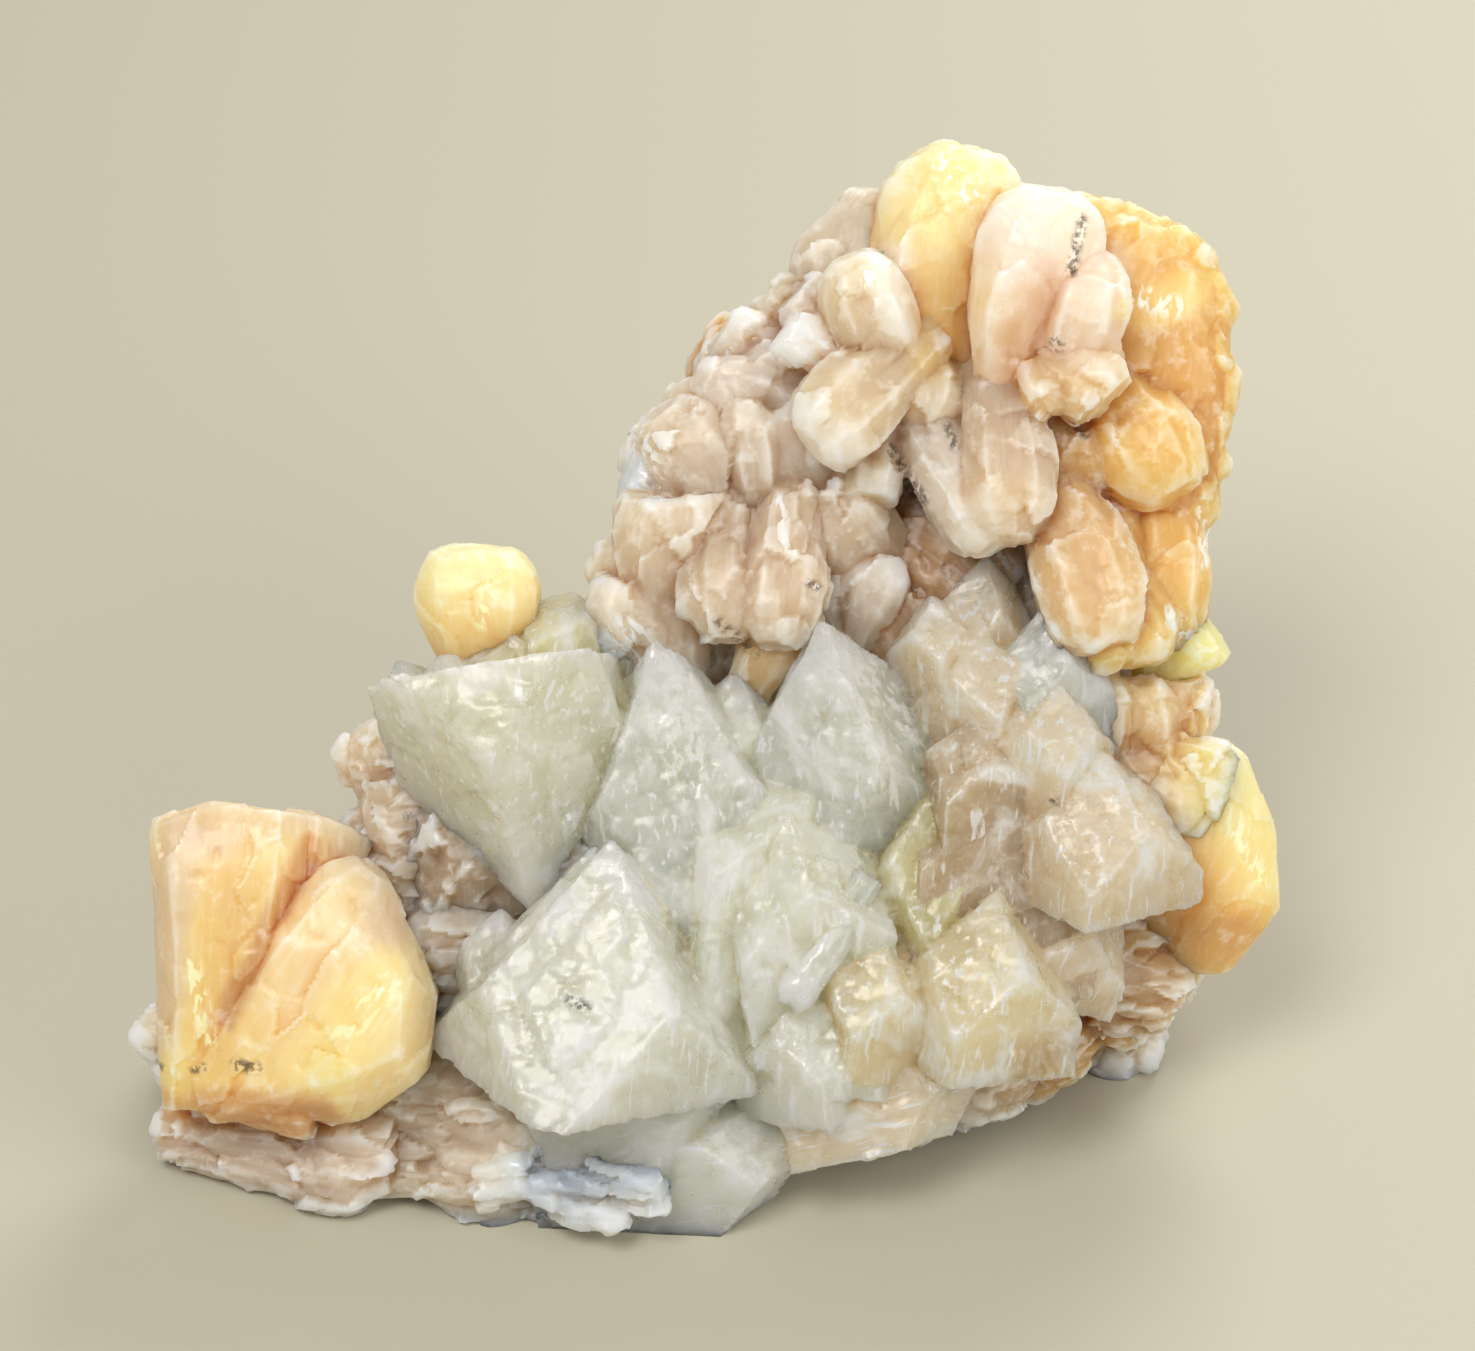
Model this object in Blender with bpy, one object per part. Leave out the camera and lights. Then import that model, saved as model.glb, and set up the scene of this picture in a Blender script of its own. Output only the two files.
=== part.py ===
"""Apophyllite on stilbite: a mineral specimen about 11 cm wide, standing on a flat broken base.

Peach and golden stilbite sheaves make the crust, the base and a tall wall at the back right.
Pale green apophyllite crystals are grown together across the front of it.
The frame is +X to the right, +Y away from the viewer and +Z up, with the base on Z = 0.
"""

import math
import random

import bmesh
import bpy
from mathutils import Matrix, Vector

MM = 0.001

# The front, where the good crystals stand, is a slope that leans back from upright.
LEAN = math.radians(38)
FOOT_Y = -37.0
RIGHT = Vector((1, 0, 0))
UP_SLOPE = Vector((0, math.sin(LEAN), math.cos(LEAN)))
OUT_OF_SLOPE = Vector((0, -math.cos(LEAN), math.sin(LEAN)))

# Places are (across, up the slope, proud of the slope), in millimetres.
# A stilbite blade is: root, tip, greatest width, thickness and outline.
# An outline is the share of the greatest width at each share of the length.
ROUND_END = ((0, 0.6), (0.62, 1), (0.86, 0.84), (1, 0.4))
BLUNT_END = ((0, 0.6), (0.7, 1), (1, 0.6))
NARROW_END = ((0, 0.6), (0.7, 1), (1, 0.42))
SQUARE_END = ((0, 0.65), (0.86, 1), (1, 0.84))
WEDGE = ((0, 0.5), (0.95, 1), (1, 0.92))

WALL_BLADES = (
    ((17.5, 82, -9), (15.8, 100.6, -6), 9, 8, BLUNT_END),
    ((17, 81, -8), (10.8, 96.6, -5.4), 9.5, 8, BLUNT_END),
    ((15, 79, -7), (5.6, 90.8, -4.6), 9, 7, BLUNT_END),
    ((13, 77, -6), (1.2, 86.4, -3.8), 7, 6, SQUARE_END),
    ((10, 75, -6), (-4.2, 79.6, -3.5), 9, 7, ROUND_END),
    ((22.5, 80, -7), (24.6, 104.2, -1), 14, 11, NARROW_END),
    ((21, 82, -3), (20.4, 98, 0.5), 7.5, 7, BLUNT_END),
    ((30.5, 77, -3), (32.2, 99.4, 4.2), 12.5, 11, BLUNT_END),
    ((34, 79, -1), (36.8, 93.5, 4), 8.5, 9, ROUND_END),
    ((27.5, 80, -1), (28.6, 93, 4.8), 6.5, 7, BLUNT_END),
    ((30, 87, 1), (37.5, 79, 4.5), 8, 7, SQUARE_END),
    ((19, 80, -2), (13.6, 93, 3), 9, 8, BLUNT_END),
    ((21.5, 86, -1), (9.6, 75, 5), 9.5, 8, BLUNT_END),
    ((14.5, 83, -4), (8.3, 90.2, -1.5), 6.5, 5, SQUARE_END),
    ((16, 81, -3), (7.4, 86.4, 1.2), 5.5, 5, SQUARE_END),
    ((14, 76, -5), (-1.2, 82.2, -1.4), 8, 7, ROUND_END),
    ((4, 67, -4), (-4.6, 78.8, 0), 9.5, 8, BLUNT_END),
    ((5.5, 66, -3), (3.4, 79.6, 1.4), 5.5, 6, BLUNT_END),
    ((11, 66, -4), (7.2, 79, 0.6), 8.5, 7, BLUNT_END),
    ((1, 69.5, -6), (-7.4, 73.2, -2.6), 7, 6, SQUARE_END),
    ((-3, 54, -5), (-3.4, 70.6, 0.6), 11, 9, SQUARE_END),
    ((-3.5, 53, -5), (-9.4, 63, -1.4), 8, 8, BLUNT_END),
    ((-6, 60, -5), (-8.6, 66.5, -2.4), 7, 6, BLUNT_END),
    ((2, 73, -2), (1.6, 56.5, 3), 7.5, 7, BLUNT_END),
    ((8, 73, -2), (6.4, 56, 3.6), 8, 8, BLUNT_END),
    ((18, 62, -8), (10.4, 71.6, -0.8), 11, 8, SQUARE_END),
    ((16, 80, -4), (15.4, 70, 0.4), 6, 6, SQUARE_END),
    ((18, 81, -3), (27.4, 65.6, 4.6), 8.5, 8, BLUNT_END),
    ((27, 83, -2), (28.4, 66, 5.2), 9, 8.5, BLUNT_END),
    ((21.5, 86, -4), (20.6, 77, 1.2), 6, 6, ROUND_END),
    ((36, 84, -5), (36, 70, 0), 10, 8, ROUND_END),
    ((31.5, 74, -3), (37.6, 56, 6), 10.5, 9, BLUNT_END),
    ((38, 72, -5), (41.5, 54.4, 2.4), 9, 9, BLUNT_END),
    ((43.5, 73, -6), (43.6, 55.4, -1), 8, 8, BLUNT_END),
    ((38, 84, -6), (44.6, 70.5, 1), 11, 9, BLUNT_END),
    ((11, 74, -10), (29, 61, -4), 14, 9, BLUNT_END),
    ((13, 67, -10), (23, 55, -5), 12, 8, BLUNT_END),
    ((35.6, 62, -2), (38.2, 54, 4.6), 5.5, 6, BLUNT_END),
    ((12, 56, -6), (12.6, 63.4, -2.6), 7, 5, BLUNT_END),
    ((13.5, 55, -5), (17, 64.6, -1.6), 6, 5, ROUND_END),
    ((3, 50, -3), (9.6, 60.4, 0.8), 6, 5, BLUNT_END),
    ((37.6, 43, -6), (38, 53.6, -0.6), 7, 7, BLUNT_END),
    ((42, 42, -6), (41.8, 53, -0.8), 7, 7, BLUNT_END),
    ((45, 42, -7), (45.2, 53.4, -3), 6.5, 7, SQUARE_END),
    ((41, 46, -5), (49, 40.5, -2.4), 8, 6, SQUARE_END),
)
LOW_BLADES = (
    ((-29, 34, -10), (-32.2, 49, -6.5), 6.5, 6, BLUNT_END),
    ((-26.5, 27, -9), (-28.4, 44, -5), 11, 8, SQUARE_END),
    ((-24, 36, -9), (-23.5, 24.5, -3), 8, 7, BLUNT_END),
    ((-21.5, 16, -8), (-27, 30.5, -3), 8, 7, BLUNT_END),
    ((-17, 10, -5), (-32, 15.5, -2), 9, 7, SQUARE_END),
    ((-22, 5.2, -1), (-4, 5.4, 2.2), 6.5, 6, SQUARE_END),
    ((-34, 8.5, -4), (-15, 9.2, 0.6), 7, 6, SQUARE_END),
    ((-33, 5.2, -3), (-20, 4.4, 0.2), 4.5, 5, SQUARE_END),
    ((-53, 9, -7), (-30, 7.4, -1), 8.5, 8, SQUARE_END),
    ((-13, 3.2, -3), (-24, 3, -1), 4.5, 4, SQUARE_END),
    ((-50, 11, -6), (-53.4, 21.5, -3.5), 4.5, 4, BLUNT_END),
    ((-10, 53, -7), (-11, 61, -4), 7, 6, ROUND_END),
    ((12, 15, -6), (22.5, 9.4, -6.5), 7.5, 6, BLUNT_END),
    ((23, 19, -7), (30.5, 11.6, -9), 9, 7, BLUNT_END),
    ((29, 21, -8), (37, 15.4, -11.5), 9, 8, BLUNT_END),
    ((34, 25, -8), (43, 18.8, -12.5), 9, 8, BLUNT_END),
    ((38, 29, -8), (47.6, 23.6, -12), 9, 8, BLUNT_END),
    ((36, 26, -6), (46, 21.5, -8), 8, 6, SQUARE_END),
)

# The golden plate at the right of the wall is a fan. Its blades are: direction in degrees,
# reach, and how proud the tip stands.
FAN_CENTRE = (34, 82, -8)
FAN_BLADES = (
    (79, 18.0, -3.6),
    (62, 18.4, -5.0),
    (45, 19.2, -3.9),
    (28, 18.8, -5.3),
    (11, 16.2, -3.7),
    (-5, 17.2, -5.1),
    (-20, 17.2, -4.1),
    (-33, 18.6, -5.4),
    (-46, 20.4, -4.0),
)
FAN_BLADE_WIDTH = 8.5
FAN_BLADE_THICKNESS = 8

# The separate golden sheaves.
BOWTIE_BLADES = (
    ((-49.5, 12, 1), (-48.4, 39.4, 0), 9.5, 14, WEDGE),
    ((-47, 12, 1.6), (-42.8, 40.6, 0.8), 10, 14, WEDGE),
    ((-45, 14, 0), (-38.2, 40, -1.4), 5, 12, WEDGE),
    ((-46, 15, -2), (-34.8, 38.4, -5.6), 6, 8, WEDGE),
    ((-47, 14, 1.6), (-31.8, 34.8, 2.2), 9, 14, BLUNT_END),
    ((-46, 13.5, 2.4), (-29.6, 27.6, 3.2), 13, 15, WEDGE),
    ((-48, 14, 2), (-28.6, 21.4, 3.4), 12.5, 14, WEDGE),
    ((-49, 15, 1.4), (-32, 15.8, 2.4), 9, 13, WEDGE),
    ((-51, 16, 0.5), (-37, 12.6, 1.4), 7, 11, WEDGE),
)
BUD_BLADES = (
    ((-22.5, 53, -5), (-24.8, 65.4, -1.4), 8.5, 10, BLUNT_END),
    ((-22, 53, -5), (-20.6, 65.6, -2.2), 9, 10, BLUNT_END),
)
RIGHT_FAN_BLADES = (
    ((44, 35, -7), (50, 46.4, -4), 8, 8, BLUNT_END),
    ((43, 34, -7.5), (53.6, 40, -3.4), 9, 8, BLUNT_END),
    ((42, 32, -8), (55.2, 33, -5.2), 9.5, 8, BLUNT_END),
    ((42, 32, -9), (51.8, 26.4, -7), 8.5, 7, BLUNT_END),
)
TAB_BLADES = (
    ((42.8, 52.5, -5.2), (43.6, 60.2, -0.6), 5.5, 5.4, SQUARE_END),
    ((43, 53.4, -4.4), (48.3, 57.6, -1.6), 7, 6, SQUARE_END),
)

# An apophyllite crystal is: tip, direction of its long axis towards the tip in the slope's own
# directions, turn about that axis in degrees, half width between prism faces, length, and how
# much the pyramid rises over one half width.
APOPHYLLITES = (
    ((-4.9, 57.6, 6), (-0.12, 0.86, 0.49), 45, 10.6, 30, 1.25),
    ((10.8, 58.8, 7.5), (-0.12, 0.8, 0.59), 22, 8.8, 27, 1.25),
    ((-16.7, 30.2, 2), (0.13, -0.98, 0.12), 10, 11.4, 23.5, 1.2),
    ((-9.1, 38.8, 8.5), (0.08, 0.94, 0.34), 35, 13.2, 23.5, 0.95),
    ((37.5, 46.6, 5), (0.05, 0.94, 0.34), 38, 7.4, 15, 0.75),
    ((32, 60.2, 3), (-0.05, 0.93, 0.36), 25, 4.8, 15, 0.9),
    ((25.5, 58, 2.5), (-0.12, 0.93, 0.36), 50, 4.8, 12, 0.7),
    ((33, 52.6, 5.5), (0.1, 0.9, 0.4), 60, 4.8, 12, 0.7),
    ((26, 50.4, 4), (0, 0.94, 0.34), 15, 5.2, 14, 0.7),
    ((26.7, 65.3, 0), (0.05, 0.97, 0.25), 20, 4.4, 11, 1.1),
    ((21.3, 61, 1), (-0.15, 0.93, 0.3), 40, 3.7, 9, 0.7),
    ((21.5, 43, 3), (0.05, 0.94, 0.34), 45, 6.0, 15, 1.1),
    ((7.5, 41.6, 5.5), (-0.1, 0.93, 0.36), 12, 7.6, 21, 0.8),
    ((16.5, 29, 6), (0.1, 0.92, 0.38), 30, 5.4, 13, 0.7),
    ((8.5, 24.5, 5.5), (-0.1, 0.92, 0.38), 55, 5.2, 13, 0.7),
    ((26.8, 15.4, 1), (0.97, 0.2, 0.1), 0, 5.2, 20, 0.9),
    ((27.2, 33.2, 5), (0.12, 0.94, 0.3), 32, 7.2, 17, 0.8),
    ((37, 33.8, 0), (0.35, 0.9, 0.3), 20, 5.0, 12, 0.8),
    ((10.2, 8.2, 0), (0.98, 0.12, 0.15), 30, 5.4, 27, 0.9),
    ((2, 14.5, 4), (0.88, 0.35, 0.3), 15, 5.4, 18, 0.9),
    ((-13, 62, -5), (0.12, 0.98, -0.1), 20, 5.4, 14, 0.6),
    ((-29.6, 54.8, 0), (-0.3, 0.95, 0.1), 30, 3.0, 9, 0.7),
    ((-19.6, 31.5, 2.5), (0.1, 0.95, 0.3), 20, 3.4, 9, 1.0),
    ((3, 54, 1.5), (0.15, 0.93, 0.36), 40, 4.6, 14, 0.9),
    ((6, 52, -3), (0.1, 0.98, 0.1), 30, 10, 32, 0.8),
    ((29, 50, -3), (0.1, 0.98, 0.1), 10, 9, 26, 0.8),
    ((16, 28, -1), (0.15, 0.97, 0.1), 35, 8, 14, 0.7),
)
LATH = ((15.2, 34.2, 5), (7.4, 22.6, 8.5), 3.4, 3.4, BLUNT_END)
FACE_UNEVENNESS = 0.05

# The stone behind the crystals, in frame millimetres: centre and half sizes of its lumps.
CORE_LUMPS = (
    ((28, 25, 56), (17, 11, 20)),
    ((12, 20, 43), (18, 13, 20)),
    ((31, 16, 32), (17, 17, 22)),
    ((4, 0, 13), (30, 24, 19)),
    ((-31, -12, 6), (19, 15, 13)),
    ((27, -1, 12), (19, 17, 15)),
    ((20, 19, 8), (24, 18, 17)),
    ((-18, -6, 22), (14, 12, 15)),
)
RIM_LUMPS = (
    ((-41, -23.5, 3), (12, 8, 8)),
    ((-14, -28.5, 1), (10, 8, 6)),
    ((2, -24, 2), (10, 7.5, 7)),
    ((22, -16, 3), (7.5, 7, 8)),
    ((33, -11.5, 5), (8, 7.5, 8)),
    ((41, -3.5, 11), (7, 8, 7)),
    ((46, 1, 19), (6, 8, 8)),
)
LUMP_ROUGHNESS = 0.12

# Stubby stilbite blades crust the stone's back and sides.
CRUST_SPACING = 10
CRUST_WIDTH = 16.0
CRUST_THICKNESS = 11.0
CRUST_DEPTH = 9.0
CRUST_RISE = 4.2
CRUST_CLEAR_OF_SLOPE = -10.0
CRUST_CLEAR_OF_BASE = 4.0

GAP = 0.35
SMALLEST = 5e-6
BLADE_BEVEL = 0.42
SEED = 17


def on_slope(place):
    """Frame position, in metres, of a place given in millimetres on the leaning front."""
    across, up, proud = place
    foot = Vector((0, FOOT_Y, 0))
    return (foot + RIGHT * across + UP_SLOPE * up + OUT_OF_SLOPE * proud) * MM


def slope_direction(direction):
    """Unit vector in the frame for a direction given in the slope's own directions."""
    across, up, proud = direction
    return (RIGHT * across + UP_SLOPE * up + OUT_OF_SLOPE * proud).normalized()


def facing(axis, towards):
    """Rotation whose Z is axis and whose Y is as near as it can be to towards."""
    z_axis = axis.normalized()
    x_axis = towards.cross(z_axis).normalized()
    y_axis = z_axis.cross(x_axis)
    return Matrix((x_axis, y_axis, z_axis)).transposed().to_4x4()


def new_object(name, shape, collection):
    mesh = bpy.data.meshes.new(name)
    bmesh.ops.recalc_face_normals(shape, faces=shape.faces)
    shape.to_mesh(mesh)
    shape.free()
    made = bpy.data.objects.new(name, mesh)
    collection.objects.link(made)
    return made


def upright_edges(shape):
    return [edge for edge in shape.edges if abs(edge.verts[0].co.z - edge.verts[1].co.z) > 1]


def blade_shape(root, tip, width, thickness, outline, towards=OUT_OF_SLOPE, grow=0.0, sharp=False):
    """A slab that widens from its root and closes in at its tip, its long edges bevelled."""
    axis = (tip - root).normalized()
    root = root - axis * grow * MM
    length = (tip - root).length + grow * MM
    shape = bmesh.new()
    bmesh.ops.create_cube(shape, size=2)
    if not sharp:
        bmesh.ops.bevel(
            shape,
            geom=upright_edges(shape),
            offset=BLADE_BEVEL,
            offset_type="OFFSET",
            segments=1,
            profile=0.5,
            affect="EDGES",
            material=-1,
        )
    uprights = upright_edges(shape)
    bands = len(outline) - 1
    bmesh.ops.subdivide_edges(shape, edges=uprights, cuts=bands - 1, use_grid_fill=True)
    for vert in shape.verts:
        share, broad = outline[round((vert.co.z + 1) / 2 * bands)]
        vert.co.x *= (width / 2 + grow) * MM * broad
        vert.co.y *= (thickness / 2 + grow) * MM * broad
        vert.co.z = share * length
    place = Matrix.Translation(root) @ facing(axis, towards)
    bmesh.ops.transform(shape, matrix=place, verts=shape.verts)
    return shape


def slope_blade(row, grow=0.0):
    root, tip, width, thickness, outline = row
    return blade_shape(on_slope(root), on_slope(tip), width, thickness, outline, grow=grow)


def cut_off(shape, point, normal):
    """Takes off what lies beyond a plane, and closes the cut."""
    geometry = shape.verts[:] + shape.edges[:] + shape.faces[:]
    cut = bmesh.ops.bisect_plane(
        shape, geom=geometry, plane_co=point, plane_no=normal, clear_outer=True, dist=1e-7
    )
    rim = [item for item in cut["geom_cut"] if isinstance(item, bmesh.types.BMEdge)]
    if rim:
        bmesh.ops.edgeloop_fill(shape, edges=rim)


def apophyllite_shape(row, chance, grow=0.0):
    """A square prism with a pyramid at its tip, whose faces stand over the prism's edges."""
    tip, axis, turn, half_width, length, rise = row
    shape = bmesh.new()
    bmesh.ops.create_cube(shape, size=2)
    side = (half_width + grow) * MM
    bmesh.ops.scale(shape, vec=(side, side, length * MM), verts=shape.verts)
    bmesh.ops.translate(shape, vec=(0, 0, -grow * MM), verts=shape.verts)
    steep = Vector((rise * math.sqrt(2), 0, 1)).normalized()
    point = Vector((0, 0, length * MM))
    for quarter in range(4):
        lean = Matrix.Rotation(math.radians(45 + 90 * quarter), 3, "Z")
        normal = lean @ steep
        depth = chance.uniform(0, FACE_UNEVENNESS) * half_width
        cut_off(shape, point + normal * (grow - depth) * MM, normal)
    cut_off(shape, Vector((0, 0, -grow * MM)), Vector((0, 0, -1)))
    spin = Matrix.Rotation(math.radians(turn), 4, "Z")
    turned = facing(slope_direction(axis), OUT_OF_SLOPE) @ spin
    back = turned @ Vector((0, 0, -length * MM))
    place = Matrix.Translation(on_slope(tip) + back) @ turned
    bmesh.ops.transform(shape, matrix=place, verts=shape.verts)
    return shape


def lump_shape(centre, half_sizes, chance):
    """A knobbly piece of stone with flat facets."""
    shape = bmesh.new()
    bmesh.ops.create_icosphere(shape, subdivisions=2, radius=1)
    for vert in shape.verts:
        vert.co *= 1 + chance.uniform(-1, 1) * LUMP_ROUGHNESS
    bmesh.ops.scale(shape, vec=Vector(half_sizes) * MM, verts=shape.verts)
    bmesh.ops.translate(shape, vec=Vector(centre) * MM, verts=shape.verts)
    return shape


def spiral_directions(count):
    """Directions spread evenly over a sphere."""
    golden_turn = math.pi * (3 - math.sqrt(5))
    for i in range(count):
        height = 1 - 2 * (i + 0.5) / count
        ring = math.sqrt(1 - height * height)
        yield Vector((math.cos(i * golden_turn) * ring, math.sin(i * golden_turn) * ring, height))


def inside_lump(point, lump):
    centre, half_sizes = lump
    reach = [(point[i] - centre[i]) / half_sizes[i] for i in range(3)]
    return sum(part * part for part in reach) < 0.9


def crust_shapes(chance):
    """Blades that stand out of the stone wherever it is bare at the back and sides."""
    for lump in CORE_LUMPS:
        centre, half_sizes = Vector(lump[0]), Vector(lump[1])
        others = [other for other in CORE_LUMPS if other is not lump]
        for direction in spiral_directions(CRUST_SPACING):
            point = centre + Vector([direction[i] * half_sizes[i] for i in range(3)])
            out = Vector([direction[i] / half_sizes[i] for i in range(3)]).normalized()
            lean = Vector([chance.uniform(-0.5, 0.5) for _ in range(3)])
            rise = CRUST_RISE * chance.uniform(0.4, 1.3)
            width = CRUST_WIDTH * chance.uniform(0.8, 1.2)
            if (point - Vector((0, FOOT_Y, 0))).dot(OUT_OF_SLOPE) > CRUST_CLEAR_OF_SLOPE:
                continue
            if point.z < CRUST_CLEAR_OF_BASE or any(inside_lump(point, other) for other in others):
                continue
            heading = (out + lean).normalized()
            root = (point - heading * CRUST_DEPTH) * MM
            tip = (point + heading * rise) * MM
            yield blade_shape(root, tip, width, CRUST_THICKNESS, BLUNT_END, lean, sharp=True)


def fan_rows():
    """The blades of the wall's golden plate, as rows like the others."""
    across, up, proud = FAN_CENTRE
    for degrees, reach, tip_proud in FAN_BLADES:
        angle = math.radians(degrees)
        heading = (math.cos(angle), math.sin(angle))
        root = (across + heading[0] * 2, up + heading[1] * 2, proud)
        tip = (across + heading[0] * reach, up + heading[1] * reach, tip_proud)
        yield (root, tip, FAN_BLADE_WIDTH, FAN_BLADE_THICKNESS, BLUNT_END)


def evaluated_copy(source, name, collection):
    """The object with its modifiers applied, as a new plain mesh object."""
    graph = bpy.context.evaluated_depsgraph_get()
    mesh = bpy.data.meshes.new_from_object(source.evaluated_get(graph))
    made = bpy.data.objects.new(name, mesh)
    collection.objects.link(made)
    return made


def combined(operation, first, others, name, collection):
    """A new object made by one Boolean of the first object with all the others."""
    operands = bpy.data.collections.new("operands")
    bpy.context.scene.collection.children.link(operands)
    for other in others:
        operands.objects.link(other)
    step = first.modifiers.new("step", "BOOLEAN")
    step.operation = operation
    step.operand_type = "COLLECTION"
    step.collection = operands
    bpy.context.view_layer.update()
    made = evaluated_copy(first, name, collection)
    bpy.data.collections.remove(operands)
    return made


def fused(name, shapes, collection):
    """One closed body made of shapes that overlap."""
    loose = [new_object(name + "_piece", shape, bpy.context.scene.collection) for shape in shapes]
    made = combined("UNION", loose[0], loose[1:], name, collection)
    for used in loose:
        bpy.data.objects.remove(used)
    return made


def carve(target, cutters, collection):
    """The target with the cutters' space taken out of it, and loose chips dropped."""
    name = target.name
    target.name = name + "_uncut"
    made = combined("DIFFERENCE", target, cutters, name, collection)
    bpy.data.objects.remove(target)
    keep_largest(made.data)
    return made


def islands_of(shape):
    """The separate bodies of a mesh, as lists of vertices."""
    waiting = set(shape.verts)
    while waiting:
        found = [waiting.pop()]
        for vert in found:
            for edge in vert.link_edges:
                other = edge.other_vert(vert)
                if other in waiting:
                    waiting.remove(other)
                    found.append(other)
        yield found


def keep_largest(mesh):
    shape = bmesh.new()
    shape.from_mesh(mesh)
    bodies = sorted(islands_of(shape), key=len)
    for chip in bodies[:-1]:
        bmesh.ops.delete(shape, geom=chip, context="VERTS")
    bmesh.ops.remove_doubles(shape, verts=shape.verts, dist=SMALLEST)
    bmesh.ops.dissolve_degenerate(shape, edges=shape.edges, dist=SMALLEST)
    bmesh.ops.dissolve_limit(
        shape, angle_limit=math.radians(3), verts=shape.verts, edges=shape.edges
    )
    bmesh.ops.triangulate(shape, faces=shape.faces)
    shape.to_mesh(mesh)
    shape.free()


def flat_base(piece):
    """Breaks the stone off flat at the bottom."""
    shape = bmesh.new()
    shape.from_mesh(piece.data)
    cut_off(shape, Vector((0, 0, 0)), Vector((0, 0, -1)))
    shape.to_mesh(piece.data)
    shape.free()


def centre_on_base(pieces, measured):
    """Moves the pieces so that the middle of the measured ones stands over the origin."""
    corners = [vert.co for piece in measured for vert in piece.data.vertices]
    middle = Vector((0, 0, 0))
    for side in (0, 1):
        places = [corner[side] for corner in corners]
        middle[side] = (min(places) + max(places)) / 2
    for piece in pieces:
        piece.data.transform(Matrix.Translation(-middle))


def finish(piece, colour, roughness, transmission=0.0):
    material = bpy.data.materials.new(piece.name)
    material.use_nodes = True
    shader = material.node_tree.nodes["Principled BSDF"]
    shader.inputs["Base Color"].default_value = (*colour, 1)
    shader.inputs["Roughness"].default_value = roughness
    shader.inputs["Transmission Weight"].default_value = transmission
    piece.data.materials.clear()
    piece.data.materials.append(material)
    piece.data.polygons.foreach_set("use_smooth", [False] * len(piece.data.polygons))


def apophyllite_shapes(grow=0.0):
    chance = random.Random(SEED)
    shapes = [apophyllite_shape(row, chance, grow) for row in APOPHYLLITES]
    return shapes + [slope_blade(LATH, grow)]


def stone_shapes():
    chance = random.Random(SEED + 1)
    shapes = [lump_shape(*lump, chance) for lump in CORE_LUMPS + RIM_LUMPS]
    shapes += [slope_blade(row) for row in WALL_BLADES + LOW_BLADES]
    shapes += [slope_blade(row) for row in fan_rows()]
    return shapes + list(crust_shapes(chance))


def sheaf(name, rows, collection, cutters):
    """A separate sheaf and, among the cutters, the space that it needs in its neighbours."""
    fused(name + "_space", [slope_blade(row, GAP) for row in rows], cutters)
    return fused(name, [slope_blade(row) for row in rows], collection)


def main():
    for old in list(bpy.data.objects):
        bpy.data.objects.remove(old)
    specimen = bpy.data.collections.new("apophyllite_on_stilbite")
    cutters = bpy.data.collections.new("cutters")
    bpy.context.scene.collection.children.link(specimen)
    bpy.context.scene.collection.children.link(cutters)

    bud = sheaf("stilbite_bud", BUD_BLADES, specimen, cutters)
    bowtie = sheaf("stilbite_bowtie", BOWTIE_BLADES, specimen, cutters)
    right_fan = sheaf("stilbite_right_fan", RIGHT_FAN_BLADES, specimen, cutters)
    tab = sheaf("stilbite_tab", TAB_BLADES, specimen, cutters)
    fused("apophyllite_space", apophyllite_shapes(GAP), cutters)
    crystals = fused("apophyllite_cluster", apophyllite_shapes(), specimen)
    mass = fused("stilbite_mass", stone_shapes(), specimen)
    for piece in (mass, crystals):
        flat_base(piece)

    space = cutters.objects
    crystals = carve(crystals, [space["stilbite_bud_space"]], specimen)
    bowtie = carve(bowtie, [space["apophyllite_space"]], specimen)
    right_fan = carve(right_fan, [space["apophyllite_space"]], specimen)
    mass = carve(mass, list(space), specimen)
    centre_on_base(specimen.objects[:] + space[:], specimen.objects)
    for cutter in space:
        cutter.hide_render = True
        cutter.display_type = "WIRE"

    peach, gold = (0.80, 0.62, 0.44), (0.86, 0.62, 0.26)
    finish(mass, peach, 0.5)
    finish(crystals, (0.74, 0.76, 0.62), 0.25, transmission=0.4)
    for piece in (bowtie, bud, right_fan, tab):
        finish(piece, gold, 0.45)


main()
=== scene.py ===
# %% [markdown]
# # Apophyllite on stilbite
# This notebook dresses the imported solids of a mineral specimen. Stilbite is a zeolite that grows
# as flat laths packed side by side into sheaves, and apophyllite grows beside it as square
# prisms with a pyramid on the end. The solids already give every large crystal its place, so
# each piece here starts from the same places and adds what a hand lens would find: small blades
# beside large ones, growth steps, chips, clear and milky depth, and dark specks. Painted shade
# darkens the crevices, and painted highlights pale the rims and the glints.

# %% Load the imported solids
import math
import random

import bmesh
import bpy
import numpy as np
from mathutils import Matrix, Vector
from mathutils.bvhtree import BVHTree


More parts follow.
